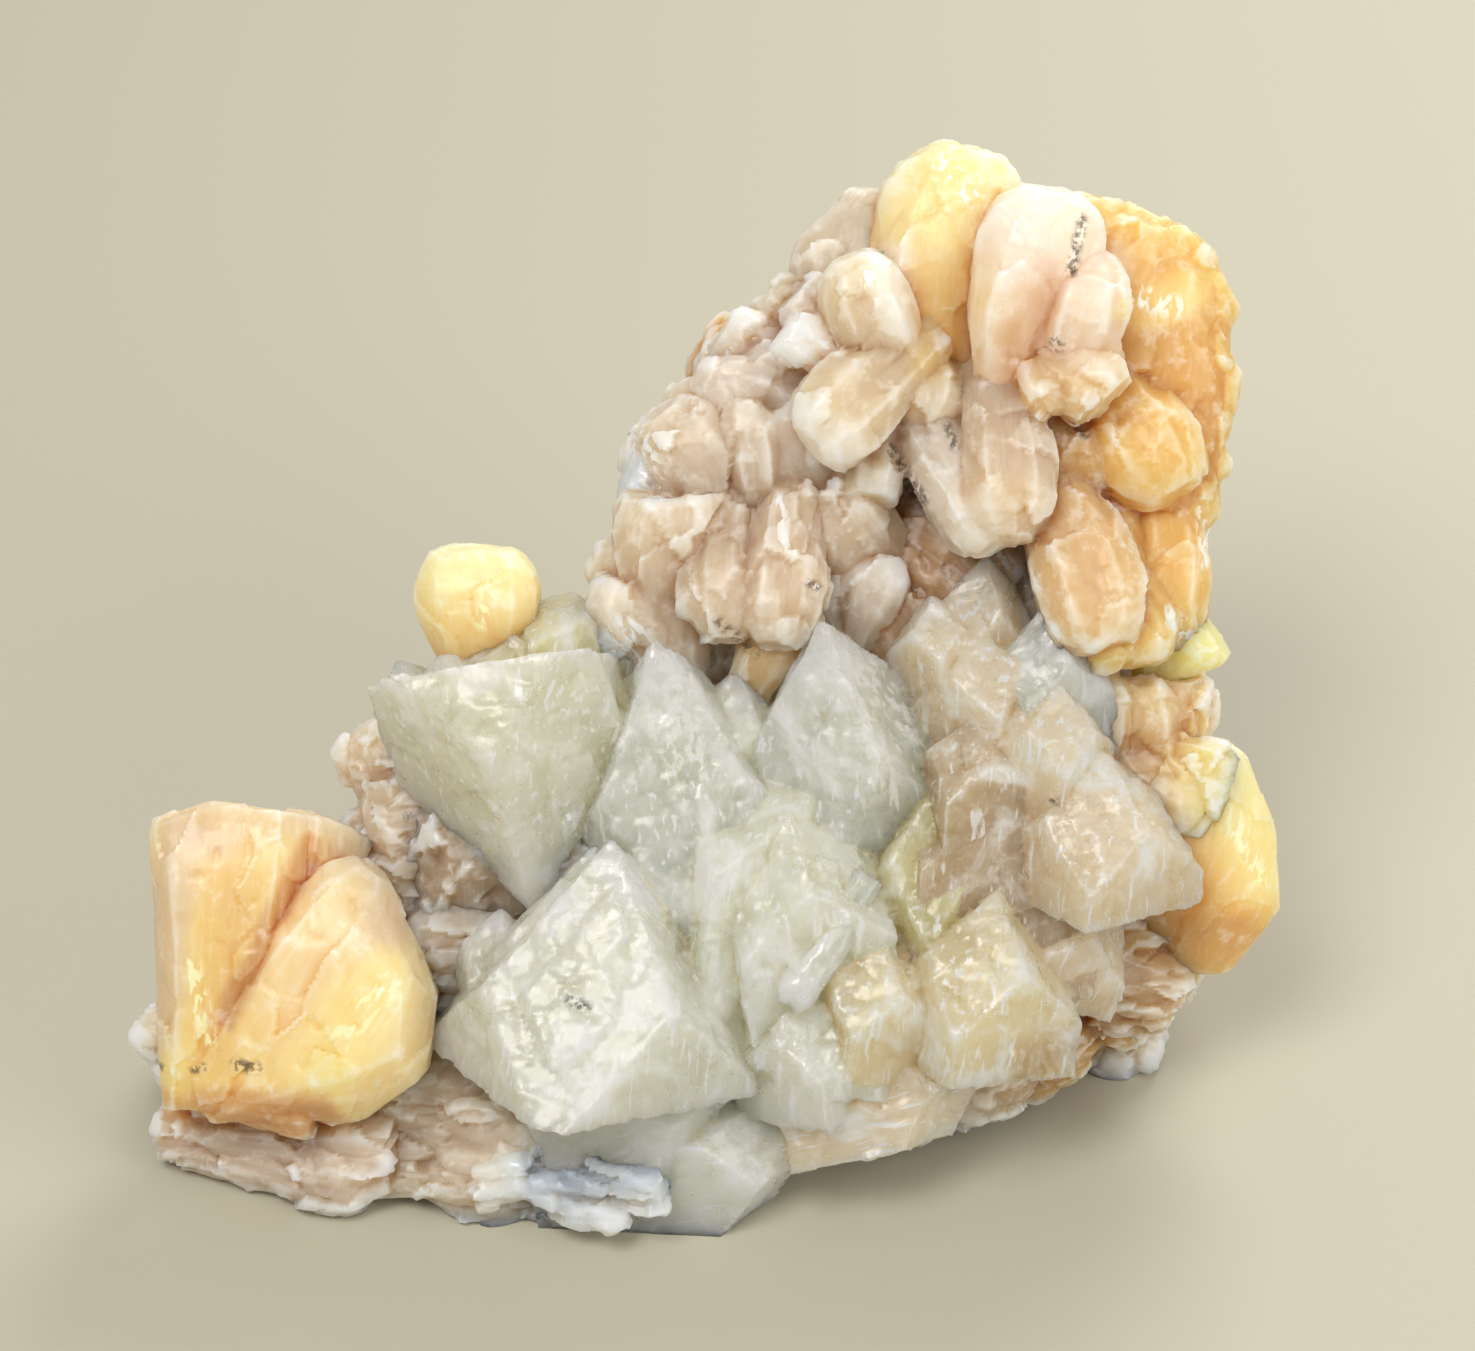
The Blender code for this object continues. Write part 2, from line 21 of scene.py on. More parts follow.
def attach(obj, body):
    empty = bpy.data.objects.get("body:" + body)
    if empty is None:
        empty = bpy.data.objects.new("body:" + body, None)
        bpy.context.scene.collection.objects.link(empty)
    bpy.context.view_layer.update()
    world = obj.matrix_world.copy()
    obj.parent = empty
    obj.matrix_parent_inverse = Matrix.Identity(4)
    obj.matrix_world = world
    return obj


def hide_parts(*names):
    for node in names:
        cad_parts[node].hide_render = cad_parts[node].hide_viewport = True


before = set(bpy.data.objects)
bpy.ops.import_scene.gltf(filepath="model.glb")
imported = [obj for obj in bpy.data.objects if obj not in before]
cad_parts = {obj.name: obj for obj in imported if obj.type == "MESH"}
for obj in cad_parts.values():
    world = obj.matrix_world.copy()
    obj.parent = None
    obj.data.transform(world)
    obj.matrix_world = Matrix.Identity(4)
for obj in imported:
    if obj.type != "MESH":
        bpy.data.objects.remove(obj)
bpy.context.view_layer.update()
print("solids:", ", ".join(sorted(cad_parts)))

# %% [markdown]
# ## The leaning front
# The good crystals stand on a front that leans back from upright. It is easiest to say where
# each one is in the front's own directions: millimetres to the right, up the slope, and proud
# of it. One function turns such a place into metres in the frame.

# %% Places on the slope
MM = 0.001
LEAN = math.radians(38)
RIGHT = Vector((1, 0, 0))
UP_SLOPE = Vector((0, math.sin(LEAN), math.cos(LEAN)))
OUT_OF_SLOPE = Vector((0, -math.cos(LEAN), math.sin(LEAN)))
FOOT_Y = -37.0
CENTRED = Vector((0.5442, -1.5074, 0))
FOOT = Vector((0, FOOT_Y, 0)) - CENTRED


def on_slope(place):
    across, up, proud = place
    return (FOOT + RIGHT * across + UP_SLOPE * up + OUT_OF_SLOPE * proud) * MM


def slope_direction(direction):
    across, up, proud = direction
    return (RIGHT * across + UP_SLOPE * up + OUT_OF_SLOPE * proud).normalized()


print("foot of the slope:", [round(part, 2) for part in FOOT], "mm")

# %% [markdown]
# ## Colours
# Stilbite is stained by iron, most of all where a sheaf starts, and pales towards its tips. So
# each finish is a pair: the colour at the root and the colour at the tip. They were judged and
# are written as screen values from 0 to 255, which the shader needs as linear light.

# %% Finishes from root to tip
FINISHES = {
    "beige_grey": ((186, 170, 146), (204, 190, 170)),
    "pale_gold": ((232, 186, 110), (240, 224, 174)),
    "white_pink": ((226, 188, 148), (240, 228, 212)),
    "pink": ((216, 178, 138), (226, 200, 176)),
    "cream": ((190, 166, 132), (218, 200, 172)),
    "milk": ((186, 168, 148), (210, 196, 182)),
    "rose": ((186, 164, 140), (208, 192, 172)),
    "white": ((222, 212, 200), (240, 236, 230)),
    "beige": ((198, 176, 150), (214, 196, 172)),
    "rosy_beige": ((188, 164, 138), (208, 188, 164)),
    "peach": ((202, 160, 110), (216, 186, 140)),
    "amber": ((186, 132, 72), (204, 160, 100)),
    "gold": ((214, 162, 88), (226, 190, 116)),
    # Painted shade: the colour of blades deep in a recess.
    "hollow": ((160, 120, 82), (184, 146, 108)),
    "tan": ((188, 164, 138), (206, 186, 162)),
    "rosy_tan": ((192, 166, 144), (210, 190, 170)),
    "grey": ((174, 158, 138), (198, 188, 172)),
    "frost": ((176, 178, 172), (206, 212, 216)),
    "bright_gold": ((244, 214, 138), (232, 212, 162)),
    "blush": ((246, 214, 144), (232, 210, 172)),
    "rust": ((186, 128, 72), (206, 154, 98)),
    "lemon": ((240, 206, 112), (250, 228, 158)),
    # Brown with painted shade, for the underside in shadow.
    "brown_with_painted_shade": ((150, 112, 62), (172, 136, 84)),
    "rosy_white": ((226, 206, 186), (238, 222, 204)),
    # Shell pink with painted shade, for the bow-tie's darker rim band.
    "shell_pink_with_painted_shade": ((208, 182, 154), (214, 190, 162)),
    "stone": ((168, 148, 126), (188, 168, 144)),
    "ice": ((200, 203, 190), (226, 227, 216)),
    "green": ((218, 219, 198), (234, 234, 217)),
    "green_white": ((222, 223, 206), (236, 236, 224)),
    "shell": ((226, 205, 174), (238, 223, 198)),
    "smoke": ((192, 168, 134), (214, 194, 164)),
    "olive": ((206, 196, 140), (226, 218, 176)),
    "straw": ((226, 208, 166), (240, 228, 196)),
}


def linear(colour):
    shares = np.array(colour, dtype=float) / 255
    return np.where(shares <= 0.04045, shares / 12.92, ((shares + 0.055) / 1.055) ** 2.4)


print(len(FINISHES), "finishes")

# %% [markdown]
# ## The crystals, one row each
# A stilbite row is root, tip, greatest width, thickness, outline and finish. An outline is the
# share of the greatest width at each share of the length. The rows are the same crystals as in
# the solids, so that the dressed piece and its solid agree.

# %% Stilbite of the wall
ROUND_END = ((0, 0.6), (0.62, 1), (0.86, 0.84), (1, 0.4))
BLUNT_END = ((0, 0.6), (0.7, 1), (1, 0.6))
NARROW_END = ((0, 0.6), (0.7, 1), (1, 0.42))
SQUARE_END = ((0, 0.65), (0.86, 1), (1, 0.84))
WEDGE = ((0, 0.5), (0.95, 1), (1, 0.92))

WALL = (
    ((17.5, 82, -9), (15.8, 100.6, -6), 9, 8, BLUNT_END, "beige_grey"),
    ((17, 81, -8), (10.8, 96.6, -5.4), 9.5, 8, BLUNT_END, "beige_grey"),
    ((15, 79, -7), (5.6, 90.8, -4.6), 9, 7, BLUNT_END, "beige_grey"),
    ((13, 77, -6), (1.2, 86.4, -3.8), 7, 6, SQUARE_END, "milk"),
    ((10, 75, -6), (-4.2, 79.6, -3.5), 9, 7, ROUND_END, "beige"),
    ((22.5, 80, -7), (24.6, 104.2, -1), 14, 11, NARROW_END, "pale_gold"),
    ((21, 82, -3), (20.4, 98, 0.5), 7.5, 7, BLUNT_END, "pale_gold"),
    ((30.5, 77, -3), (32.2, 99.4, 4.2), 12.5, 11, BLUNT_END, "white_pink"),
    ((34, 79, -1), (36.8, 93.5, 4), 8.5, 9, ROUND_END, "pink"),
    ((27.5, 80, -1), (28.6, 93, 4.8), 6.5, 7, BLUNT_END, "white_pink"),
    ((30, 87, 1), (37.5, 79, 4.5), 8, 7, SQUARE_END, "peach"),
    ((19, 80, -2), (13.6, 93, 3), 9, 8, BLUNT_END, "cream"),
    ((21.5, 86, -1), (9.6, 75, 5), 9.5, 8, BLUNT_END, "cream"),
    ((14.5, 83, -4), (8.3, 90.2, -1.5), 6.5, 5, SQUARE_END, "milk"),
    # A painted highlight: this blade is white for a face that catches the light.
    ((16, 81, -3), (7.4, 86.4, 1.2), 5.5, 5, SQUARE_END, "white"),
    ((14, 76, -5), (-1.2, 82.2, -1.4), 8, 7, ROUND_END, "milk"),
    ((4, 67, -4), (-4.6, 78.8, 0), 9.5, 8, BLUNT_END, "rose"),
    ((5.5, 66, -3), (3.4, 79.6, 1.4), 5.5, 6, BLUNT_END, "rose"),
    ((11, 66, -4), (7.2, 79, 0.6), 8.5, 7, BLUNT_END, "rose"),
    ((1, 69.5, -6), (-7.4, 73.2, -2.6), 7, 6, SQUARE_END, "frost"),
    ((-3, 54, -5), (-3.4, 70.6, 0.6), 11, 9, SQUARE_END, "beige"),
    ((-3.5, 53, -5), (-9.4, 63, -1.4), 8, 8, BLUNT_END, "beige"),
    ((-6, 60, -5), (-8.6, 66.5, -2.4), 7, 6, BLUNT_END, "beige"),
    ((2, 73, -2), (1.6, 56.5, 3), 7.5, 7, BLUNT_END, "rosy_beige"),
    ((8, 73, -2), (6.4, 56, 3.6), 8, 8, BLUNT_END, "rosy_beige"),
    ((18, 62, -8), (10.4, 71.6, -0.8), 11, 8, SQUARE_END, "rosy_beige"),
    ((16, 80, -4), (15.4, 70, 0.4), 6, 6, SQUARE_END, "beige"),
    ((18, 81, -3), (27.4, 65.6, 4.6), 8.5, 8, BLUNT_END, "rose"),
    ((27, 83, -2), (28.4, 66, 5.2), 9, 8.5, BLUNT_END, "rosy_beige"),
    ((21.5, 86, -4), (20.6, 77, 1.2), 6, 6, ROUND_END, "cream"),
    ((36, 84, -5), (36, 70, 0), 10, 8, ROUND_END, "amber"),
    ((31.5, 74, -3), (37.6, 56, 6), 10.5, 9, BLUNT_END, "peach"),
    ((38, 72, -5), (41.5, 54.4, 2.4), 9, 9, BLUNT_END, "gold"),
    ((43.5, 73, -6), (43.6, 55.4, -1), 8, 8, BLUNT_END, "gold"),
    ((38, 84, -6), (44.6, 70.5, 1), 11, 9, BLUNT_END, "gold"),
    # These two deep blades take the darker finish that paints the shade of the recess they fill.
    ((11, 74, -10), (29, 61, -4), 14, 9, BLUNT_END, "hollow"),
    ((13, 67, -10), (23, 55, -5), 12, 8, BLUNT_END, "hollow"),
    ((35.6, 62, -2), (38.2, 54, 4.6), 5.5, 6, BLUNT_END, "gold"),
    ((12, 56, -6), (12.6, 63.4, -2.6), 7, 5, BLUNT_END, "milk"),
    ((13.5, 55, -5), (17, 64.6, -1.6), 6, 5, ROUND_END, "milk"),
    ((3, 50, -3), (9.6, 60.4, 0.8), 6, 5, BLUNT_END, "peach"),
    ((37.6, 43, -6), (38, 53.6, -0.6), 7, 7, BLUNT_END, "peach"),
    ((42, 42, -6), (41.8, 53, -0.8), 7, 7, BLUNT_END, "peach"),
    ((45, 42, -7), (45.2, 53.4, -3), 6.5, 7, SQUARE_END, "peach"),
    ((41, 46, -3.5), (49, 40.5, -0.4), 8, 7, SQUARE_END, "peach"),
)
print(len(WALL), "blades in the wall")

# %% [markdown]
# The foot of the specimen has lower, browner blades, and the golden plate at the right of the
# wall is a fan, given by the direction, reach and proud height of each blade's tip.

# %% Stilbite of the foot and of the golden fan
LOW = (
    ((-29, 34, -10), (-32.2, 49, -6.5), 6.5, 6, BLUNT_END, "tan"),
    ((-26.5, 27, -9), (-28.4, 44, -5), 11, 8, SQUARE_END, "tan"),
    ((-24, 36, -9), (-23.5, 24.5, -3), 8, 7, BLUNT_END, "rosy_tan"),
    ((-21.5, 16, -8), (-27, 30.5, -3), 8, 7, BLUNT_END, "rosy_tan"),
    ((-17, 10, -5), (-32, 15.5, -2), 9, 7, SQUARE_END, "tan"),
    ((-22, 5.2, 0.5), (-4, 5.4, 4.2), 6.5, 6, SQUARE_END, "white"),
    ((-34, 8.5, -4), (-15, 9.2, 0.6), 7, 6, SQUARE_END, "rose"),
    ((-33, 5.2, -3), (-20, 4.4, 0.2), 4.5, 5, SQUARE_END, "rose"),
    ((-53, 9, -7), (-30, 7.4, -1), 8.5, 8, SQUARE_END, "rosy_tan"),
    ((-13, 3.2, -3), (-24, 3, -1), 4.5, 4, SQUARE_END, "grey"),
    ((-50, 11, -6), (-53.4, 21.5, -3.5), 4.5, 4, BLUNT_END, "frost"),
    ((-10, 53, -7), (-11, 61, -4), 7, 6, ROUND_END, "beige"),
    ((12, 15, -6), (22.5, 9.4, -6.5), 7.5, 6, BLUNT_END, "tan"),
    # Under the overhang at the right the blades are grey, amber and rust: their own brownish tone,
    # deepened as painted shade because the underside lies in shadow.
    ((23, 19, -7), (30.5, 11.6, -9), 9, 7, BLUNT_END, "grey"),
    ((29, 21, -8), (37, 15.4, -11.5), 9, 8, BLUNT_END, "amber"),
    ((34, 25, -8), (43, 18.8, -12.5), 9, 8, BLUNT_END, "amber"),
    ((38, 29, -8), (47.6, 23.6, -12), 9, 8, BLUNT_END, "rust"),
    ((36, 26, -6), (46, 21.5, -8), 8, 6, SQUARE_END, "tan"),
)
FAN_CENTRE = (34, 82, -8)
FAN = (
    (79, 18.0, -3.6),
    (62, 18.4, -5.0),
    (45, 19.2, -3.9),
    (28, 18.8, -5.3),
    (11, 16.2, -3.7),
    (-5, 17.2, -5.1),
    (-20, 17.2, -4.1),
    (-33, 18.6, -5.4),
    (-46, 20.4, -4.0),
)
FAN_WIDTH = 8.5
FAN_THICKNESS = 8


def fan_rows(share=1.0, lift=0.0):
    across, up, proud = FAN_CENTRE
    for degrees, reach, tip_proud in FAN:
        angle = math.radians(degrees)
        aim = (math.cos(angle) * share, math.sin(angle) * share)
        root = (across + aim[0] * 2, up + aim[1] * 2, proud)
        tip = (across + aim[0] * reach, up + aim[1] * reach, tip_proud + lift)
        yield (root, tip, FAN_WIDTH, FAN_THICKNESS, BLUNT_END, "gold")


print(len(LOW), "low blades and", len(FAN), "in the fan")

# %% [markdown]
# Four golden sheaves stand apart from the rest. The big one at the left is a bow-tie: two fans
# that share a waist, with a groove between them.

# %% Separate golden sheaves
BOWTIE = (
    ((-49.5, 12, 1), (-48.4, 39.4, 0), 9.5, 14, WEDGE, "bright_gold"),
    ((-47, 12, 1.6), (-42.8, 40.6, 0.8), 10, 14, WEDGE, "bright_gold"),
    ((-45, 14, 0), (-38.2, 40, -1.4), 5, 12, WEDGE, "blush"),
    ((-46, 15, -2), (-34.8, 38.4, -5.6), 6, 8, WEDGE, "blush"),
    ((-47, 14, 1.6), (-31.8, 34.8, 2.2), 9, 14, BLUNT_END, "blush"),
    ((-46, 13.5, 2.4), (-29.6, 27.6, 3.2), 13, 15, WEDGE, "bright_gold"),
    ((-48, 14, 2), (-28.6, 21.4, 3.4), 12.5, 14, WEDGE, "bright_gold"),
    ((-49, 15, 1.4), (-32, 15.8, 2.4), 9, 13, WEDGE, "bright_gold"),
    # The lowest blade, the bow-tie's under face, is rust: an orange tone deepened as painted shade.
    ((-51, 16, 0.5), (-37, 12.6, 1.4), 7, 11, WEDGE, "rust"),
)
BUD = (
    ((-22.5, 53, -5), (-24.8, 65.4, -1.4), 8.5, 10, BLUNT_END, "pale_gold"),
    ((-22, 53, -5), (-20.6, 65.6, -2.2), 9, 10, BLUNT_END, "peach"),
)
RIGHT_FAN = (
    ((44, 35, -6), (50, 46.4, -2.4), 8, 9, BLUNT_END, "pale_gold"),
    ((43, 34, -7.5), (53.6, 40, -3.4), 9, 8, BLUNT_END, "gold"),
    ((42, 32, -8), (55.2, 33, -5.2), 9.5, 8, BLUNT_END, "gold"),
    ((42, 32, -9), (51.8, 26.4, -7), 8.5, 7, BLUNT_END, "rust"),
)
TAB = (
    ((42.8, 52.5, -5.2), (43.6, 60.2, -0.6), 5.5, 5.4, SQUARE_END, "lemon"),
    ((43, 53.4, -4.4), (48.3, 57.6, -1.6), 7, 6, SQUARE_END, "lemon"),
)
BOWTIE_PACKED = ((0, 1), (2, 3), (4, 5, 6, 7), (8,))
print(len(BOWTIE + BUD + RIGHT_FAN + TAB), "blades in the separate sheaves")

# %% [markdown]
# An apophyllite row is tip, direction of the long axis, turn about it in degrees, half width,
# length, rise of the pyramid over one half width, and finish.

# %% Apophyllite
APOPHYLLITES = (
    ((-4.9, 57.6, 6), (-0.12, 0.86, 0.49), 45, 10.6, 30, 1.25, "ice"),
    ((10.8, 58.8, 7.5), (-0.12, 0.8, 0.59), 22, 8.8, 27, 1.25, "ice"),
    ((-16.7, 30.2, 2), (0.13, -0.98, 0.12), 10, 11.4, 23.5, 1.2, "green"),
    ((-9.1, 38.8, 8.5), (0.08, 0.94, 0.34), 35, 13.2, 23.5, 0.95, "green_white"),
    ((37.5, 46.6, 5), (0.05, 0.94, 0.34), 38, 7.4, 15, 0.75, "shell"),
    ((32, 60.2, 3), (-0.05, 0.93, 0.36), 25, 4.8, 15, 0.9, "ice"),
    ((25.5, 58, 2.5), (-0.12, 0.93, 0.36), 50, 4.8, 12, 0.7, "shell"),
    ((33, 52.6, 5.5), (0.1, 0.9, 0.4), 60, 4.8, 12, 0.7, "shell"),
    ((26, 50.4, 4), (0, 0.94, 0.34), 15, 5.2, 14, 0.7, "smoke"),
    ((26.7, 65.3, 0), (0.05, 0.97, 0.25), 20, 4.4, 11, 1.1, "shell"),
    ((21.3, 61, 1), (-0.15, 0.93, 0.3), 40, 3.7, 9, 0.7, "shell"),
    ((21.5, 43, 3), (0.05, 0.94, 0.34), 45, 6.0, 15, 1.1, "olive"),
    ((7.5, 41.6, 5.5), (-0.1, 0.93, 0.36), 12, 7.6, 21, 0.8, "green"),
    ((16.5, 29, 6), (0.1, 0.92, 0.38), 30, 5.4, 13, 0.7, "straw"),
    ((8.5, 24.5, 5.5), (-0.1, 0.92, 0.38), 55, 5.2, 13, 0.7, "green_white"),
    ((26.8, 15.4, 1), (0.97, 0.2, 0.1), 0, 5.2, 20, 0.9, "shell"),
    ((27.2, 33.2, 5), (0.12, 0.94, 0.3), 32, 7.2, 17, 0.8, "straw"),
    ((37, 33.8, 0), (0.35, 0.9, 0.3), 20, 5.0, 12, 0.8, "shell"),
    ((10.2, 8.2, 0), (0.98, 0.12, 0.15), 30, 5.4, 27, 0.9, "green_white"),
    ((2, 14.5, 4), (0.88, 0.35, 0.3), 15, 5.4, 18, 0.9, "green_white"),
    ((-13, 62, -5), (0.12, 0.98, -0.1), 20, 5.4, 14, 0.6, "olive"),
    ((-29.6, 54.8, 0), (-0.3, 0.95, 0.1), 30, 3.0, 9, 0.7, "ice"),
    ((-19.6, 31.5, 2.5), (0.1, 0.95, 0.3), 20, 3.4, 9, 1.0, "green"),
    ((3, 54, 1.5), (0.15, 0.93, 0.36), 40, 4.6, 14, 0.9, "green"),
    ((6, 52, -3), (0.1, 0.98, 0.1), 30, 10, 32, 0.8, "green"),
    ((29, 50, -3), (0.1, 0.98, 0.1), 10, 9, 26, 0.8, "smoke"),
    ((16, 28, -1), (0.15, 0.97, 0.1), 35, 8, 14, 0.7, "green"),
    ((-25, 55.5, 1.5), (-0.2, 0.9, 0.4), 20, 4.6, 9, 0.6, "green"),
    ((-18.5, 57.5, 1), (0.1, 0.92, 0.4), 45, 5.2, 10, 0.6, "olive"),
    ((-10.5, 55.5, 3), (0.3, 0.9, 0.3), 10, 4.4, 9, 0.6, "green"),
)
LATH = ((15.2, 34.2, 5), (7.4, 22.6, 8.5), 3.4, 3.4, BLUNT_END, "ice")
print(len(APOPHYLLITES), "apophyllite crystals")

# %% [markdown]
# ## Blades and sheaves
# A stilbite blade starts as a cube. Its upright edges are bevelled, loops are cut round it, and
# each ring is drawn in as the blade's outline says. Blades fan out from a common root, so a
# large one gets smaller ones at its sides. Where blades are packed too tightly to be told apart,
# the convex hull round them is one smooth body. The largest faces are marked calm, which keeps
# them flatter than the rest. One clear-cut blade still shows the thin laths it is packed from.

# %% Blades and sheaves
EDGE_BEVEL = 0.5
BLADE_RINGS = 12
ROUND_FROM = 0.8
SWAY = 0.05
CHAMFER = 1.0
SHEAF = {"lath": 2.3, "overlap": 1.5, "proud": (0.97, 1.03), "reach": (0.96, 1.03), "roll": 8}


def facing(axis, towards):
    z_axis = axis.normalized()
    x_axis = towards.cross(z_axis).normalized()
    y_axis = z_axis.cross(x_axis)
    return Matrix((x_axis, y_axis, z_axis)).transposed().to_4x4()


def upright_edges(shape):
    return [edge for edge in shape.edges if abs(edge.verts[0].co.z - edge.verts[1].co.z) > 1]


def drawn_out(width, thickness, length, rings, bevel_segments):
    """A bevelled cube drawn out between rings, each a share of the length, width and thickness."""
    shape = bmesh.new()
    bmesh.ops.create_cube(shape, size=2)
    bmesh.ops.bevel(
        shape,
        geom=upright_edges(shape),
        offset=EDGE_BEVEL,
        offset_type="OFFSET",
        segments=bevel_segments,
        profile=0.5,
        affect="EDGES",
        material=-1,
    )
    bands = len(rings) - 1
    uprights = upright_edges(shape)
    bmesh.ops.subdivide_edges(shape, edges=uprights, cuts=bands - 1, use_grid_fill=True)
    for vert in shape.verts:
        share, broad, thick = rings[round((vert.co.z + 1) / 2 * bands)]
        vert.co.x *= width / 2 * MM * broad
        vert.co.y *= thickness / 2 * MM * thick
        vert.co.z = share * length
    return shape


def rounded_rings(outline, width, length):
    """An outline as rings that crowd towards the tip, which is rounded off unless it is square."""
    evenly = np.linspace(0, 1, BLADE_RINGS)
    shares = 1 - (1 - evenly) ** 1.7
    known = [share for share, _ in outline]
    broads = np.interp(shares, known, [broad for _, broad in outline])
    if outline[-1][1] < ROUND_FROM:
        start = 1 - min(0.5, 0.45 * width * MM / length)
        beyond = np.clip((shares - start) / (1 - start), 0, 1)
        broads = np.interp(shares, (0, 0.6, 1), (outline[0][1], 1, 0.95))
        broads *= np.sqrt(1 - beyond**2 * (1 - (0.8 * outline[-1][1]) ** 2))
    thicks = broads * (1 - 0.3 * shares**6)
    return list(zip(shares, broads, thicks))


def swayed(shape, length, chance):
    """Bends a blade a little, leaving its root and tip where they are."""
    side, out = chance.uniform(-SWAY, SWAY) * length, chance.uniform(-SWAY, SWAY) * length
    for vert in shape.verts:
        share = vert.co.z / length
        vert.co.x += side * 4 * share * (1 - share)
        vert.co.y += out * 4 * share * (1 - share)


def placed(shape, place, length, finish):
    """A crystal: its shape moved to its place, and what its surface has to know."""
    bmesh.ops.transform(shape, matrix=place, verts=shape.verts)
    bmesh.ops.recalc_face_normals(shape, faces=shape.faces)
    return {"shape": shape, "place": place, "length": length, "finish": finish}


def reach_at(outline, side):
    """The share of the length at which an outline closes in on this share of the width."""
    shares = [share for share, broad in outline]
    broads = [broad for share, broad in outline]
    if broads[-1] >= side:
        return 1.0
    return float(np.interp(-side, [-broads[-2], -broads[-1]], [shares[-2], shares[-1]]))


def blade_body(row, chance, towards=OUT_OF_SLOPE, bevel_segments=1):
    root, tip, width, thickness, outline, finish = row
    axis = tip - root
    rings = rounded_rings(outline, width, axis.length)
    body = drawn_out(width, thickness, axis.length, rings, bevel_segments)
    swayed(body, axis.length, chance)
    return placed(body, Matrix.Translation(root) @ facing(axis, towards), axis.length, finish)


def blade(row, chance, habit, towards=OUT_OF_SLOPE):
    """One body with its laths. The habit says how wide, proud and long they are."""
    root, tip, width, thickness, outline, finish = row
    axis = tip - root
    body = blade_body(row, chance, towards)
    yield body
    sideways = body["place"].to_3x3().col[0] * MM * width / 2
    count = max(2, round(width / habit["lath"]))
    for number in range(count):
        side = (2 * number + 1) / count - 1
        start = root + sideways * side * outline[0][1] * 0.9
        reach = reach_at(outline, abs(side)) * chance.uniform(*habit["reach"])
        broad = min(0.86, outline[-1][1] + 0.25)
        end = root + axis * reach + sideways * side * broad
        thick = thickness * (1 - 0.2 * side * side) * chance.uniform(*habit["proud"])
        roll = Matrix.Rotation(math.radians(chance.uniform(-1, 1) * habit["roll"]), 4, "Z")
        length = (end - start).length
        chamfer = 1 - min(0.4, CHAMFER * MM / length)
        rings = ((0, 0.8, 0.8), (0.6, 1, 1), (chamfer, 0.95, 0.9), (1, 0.5, 0.62))
        shape = drawn_out(width / count * habit["overlap"], thick, length, rings, 1)
        place = Matrix.Translation(start) @ facing(end - start, towards) @ roll
        yield placed(shape, place, length, finish)


def side_petals(row, chance):
    """Smaller blades that fan out beside a large one, as rows."""
    root, tip, width, thickness, outline, finish = row
    axis = tip - root
    sideways = facing(axis, OUT_OF_SLOPE).to_3x3().col[0] * MM * width / 2
    for side in (-1, 1):
        if chance.random() < 0.5:
            continue
        start = root + axis * chance.uniform(0.05, 0.3) + sideways * side * 0.3
        end = root + axis * chance.uniform(0.72, 0.93) + sideways * side * chance.uniform(0.7, 1.25)
        end += OUT_OF_SLOPE * chance.uniform(-1.2, 1.6) * MM
        small = chance.uniform(0.45, 0.7)
        yield start, end, width * small, thickness * chance.uniform(0.6, 0.85), ROUND_END, finish


def packed_sheaf(bodies):
    """Blades packed so tightly that they are one smooth body: the hull round them all."""
    whole = bmesh.new()
    for body in bodies:
        for vert in body["shape"].verts:
            whole.verts.new(vert.co)
    bmesh.ops.convex_hull(whole, input=whole.verts)
    inner = [vert for vert in whole.verts if not vert.link_faces]
    bmesh.ops.delete(whole, geom=inner, context="VERTS")
    bmesh.ops.recalc_face_normals(whole, faces=whole.faces)
    return {**bodies[0], "shape": whole}


def slope_blades(rows, seed, habit, packed=()):
    """Blades from slope rows. Each group of row numbers in packed becomes one smooth body."""
    chance = random.Random(seed)
    rows = [(on_slope(row[0]), on_slope(row[1]), *row[2:]) for row in rows]
    made = []
    for group in packed:
        made.append(packed_sheaf([blade_body(rows[number], chance) for number in group]))
    for number, row in enumerate(rows):
        if not any(number in group for group in packed):
            made += blade(row, chance, habit)
    return made


def smooth_blades(rows, seed, packed=(), lone=()):
    """Blades without laths. Each has smaller ones at its sides, unless it is a calm lone one."""
    chance = random.Random(seed)
    rows = [(on_slope(row[0]), on_slope(row[1]), *row[2:]) for row in rows]
    bodies = [blade_body(row, chance) for row in rows]
    for number in lone:
        bodies[number]["calm"] = CALM
    made = [packed_sheaf([bodies[number] for number in group]) for group in packed]
    for number, row in enumerate(rows):
        if not any(number in group for group in packed):
            made.append(bodies[number])
        if number not in lone:
            made += [blade_body(small, chance) for small in side_petals(row, chance)]
    return made


CALM = 0.7
WALL_PACKED = ((0, 1), (5, 6), (7, 9))
WALL_LONE = (0, 1, 5, 6, 7, 8, 9, 11, 12, 27, 28, 31, 32, 33, 34)
wall_blades = smooth_blades(WALL, 3, WALL_PACKED, WALL_LONE)
fan_blades = smooth_blades(list(fan_rows()), 4, lone=range(len(FAN)))
fan_blades += smooth_blades(list(fan_rows(0.93, 0.8)), 4, (range(len(FAN)),), range(len(FAN)))
low_blades = smooth_blades(LOW, 5)
print(len(wall_blades), "in the wall,", len(fan_blades), "in the fan,", len(low_blades), "low")

# %% [markdown]
# ## A square prism with overgrowths
# Apophyllite's pyramid faces stand over the edges of its square prism. Four planes cut the top
# of a tall box to make them. Large crystals carry smaller ones in exactly the same position,
# a fraction of a millimetre proud, which is what gives their faces steps and terraces.

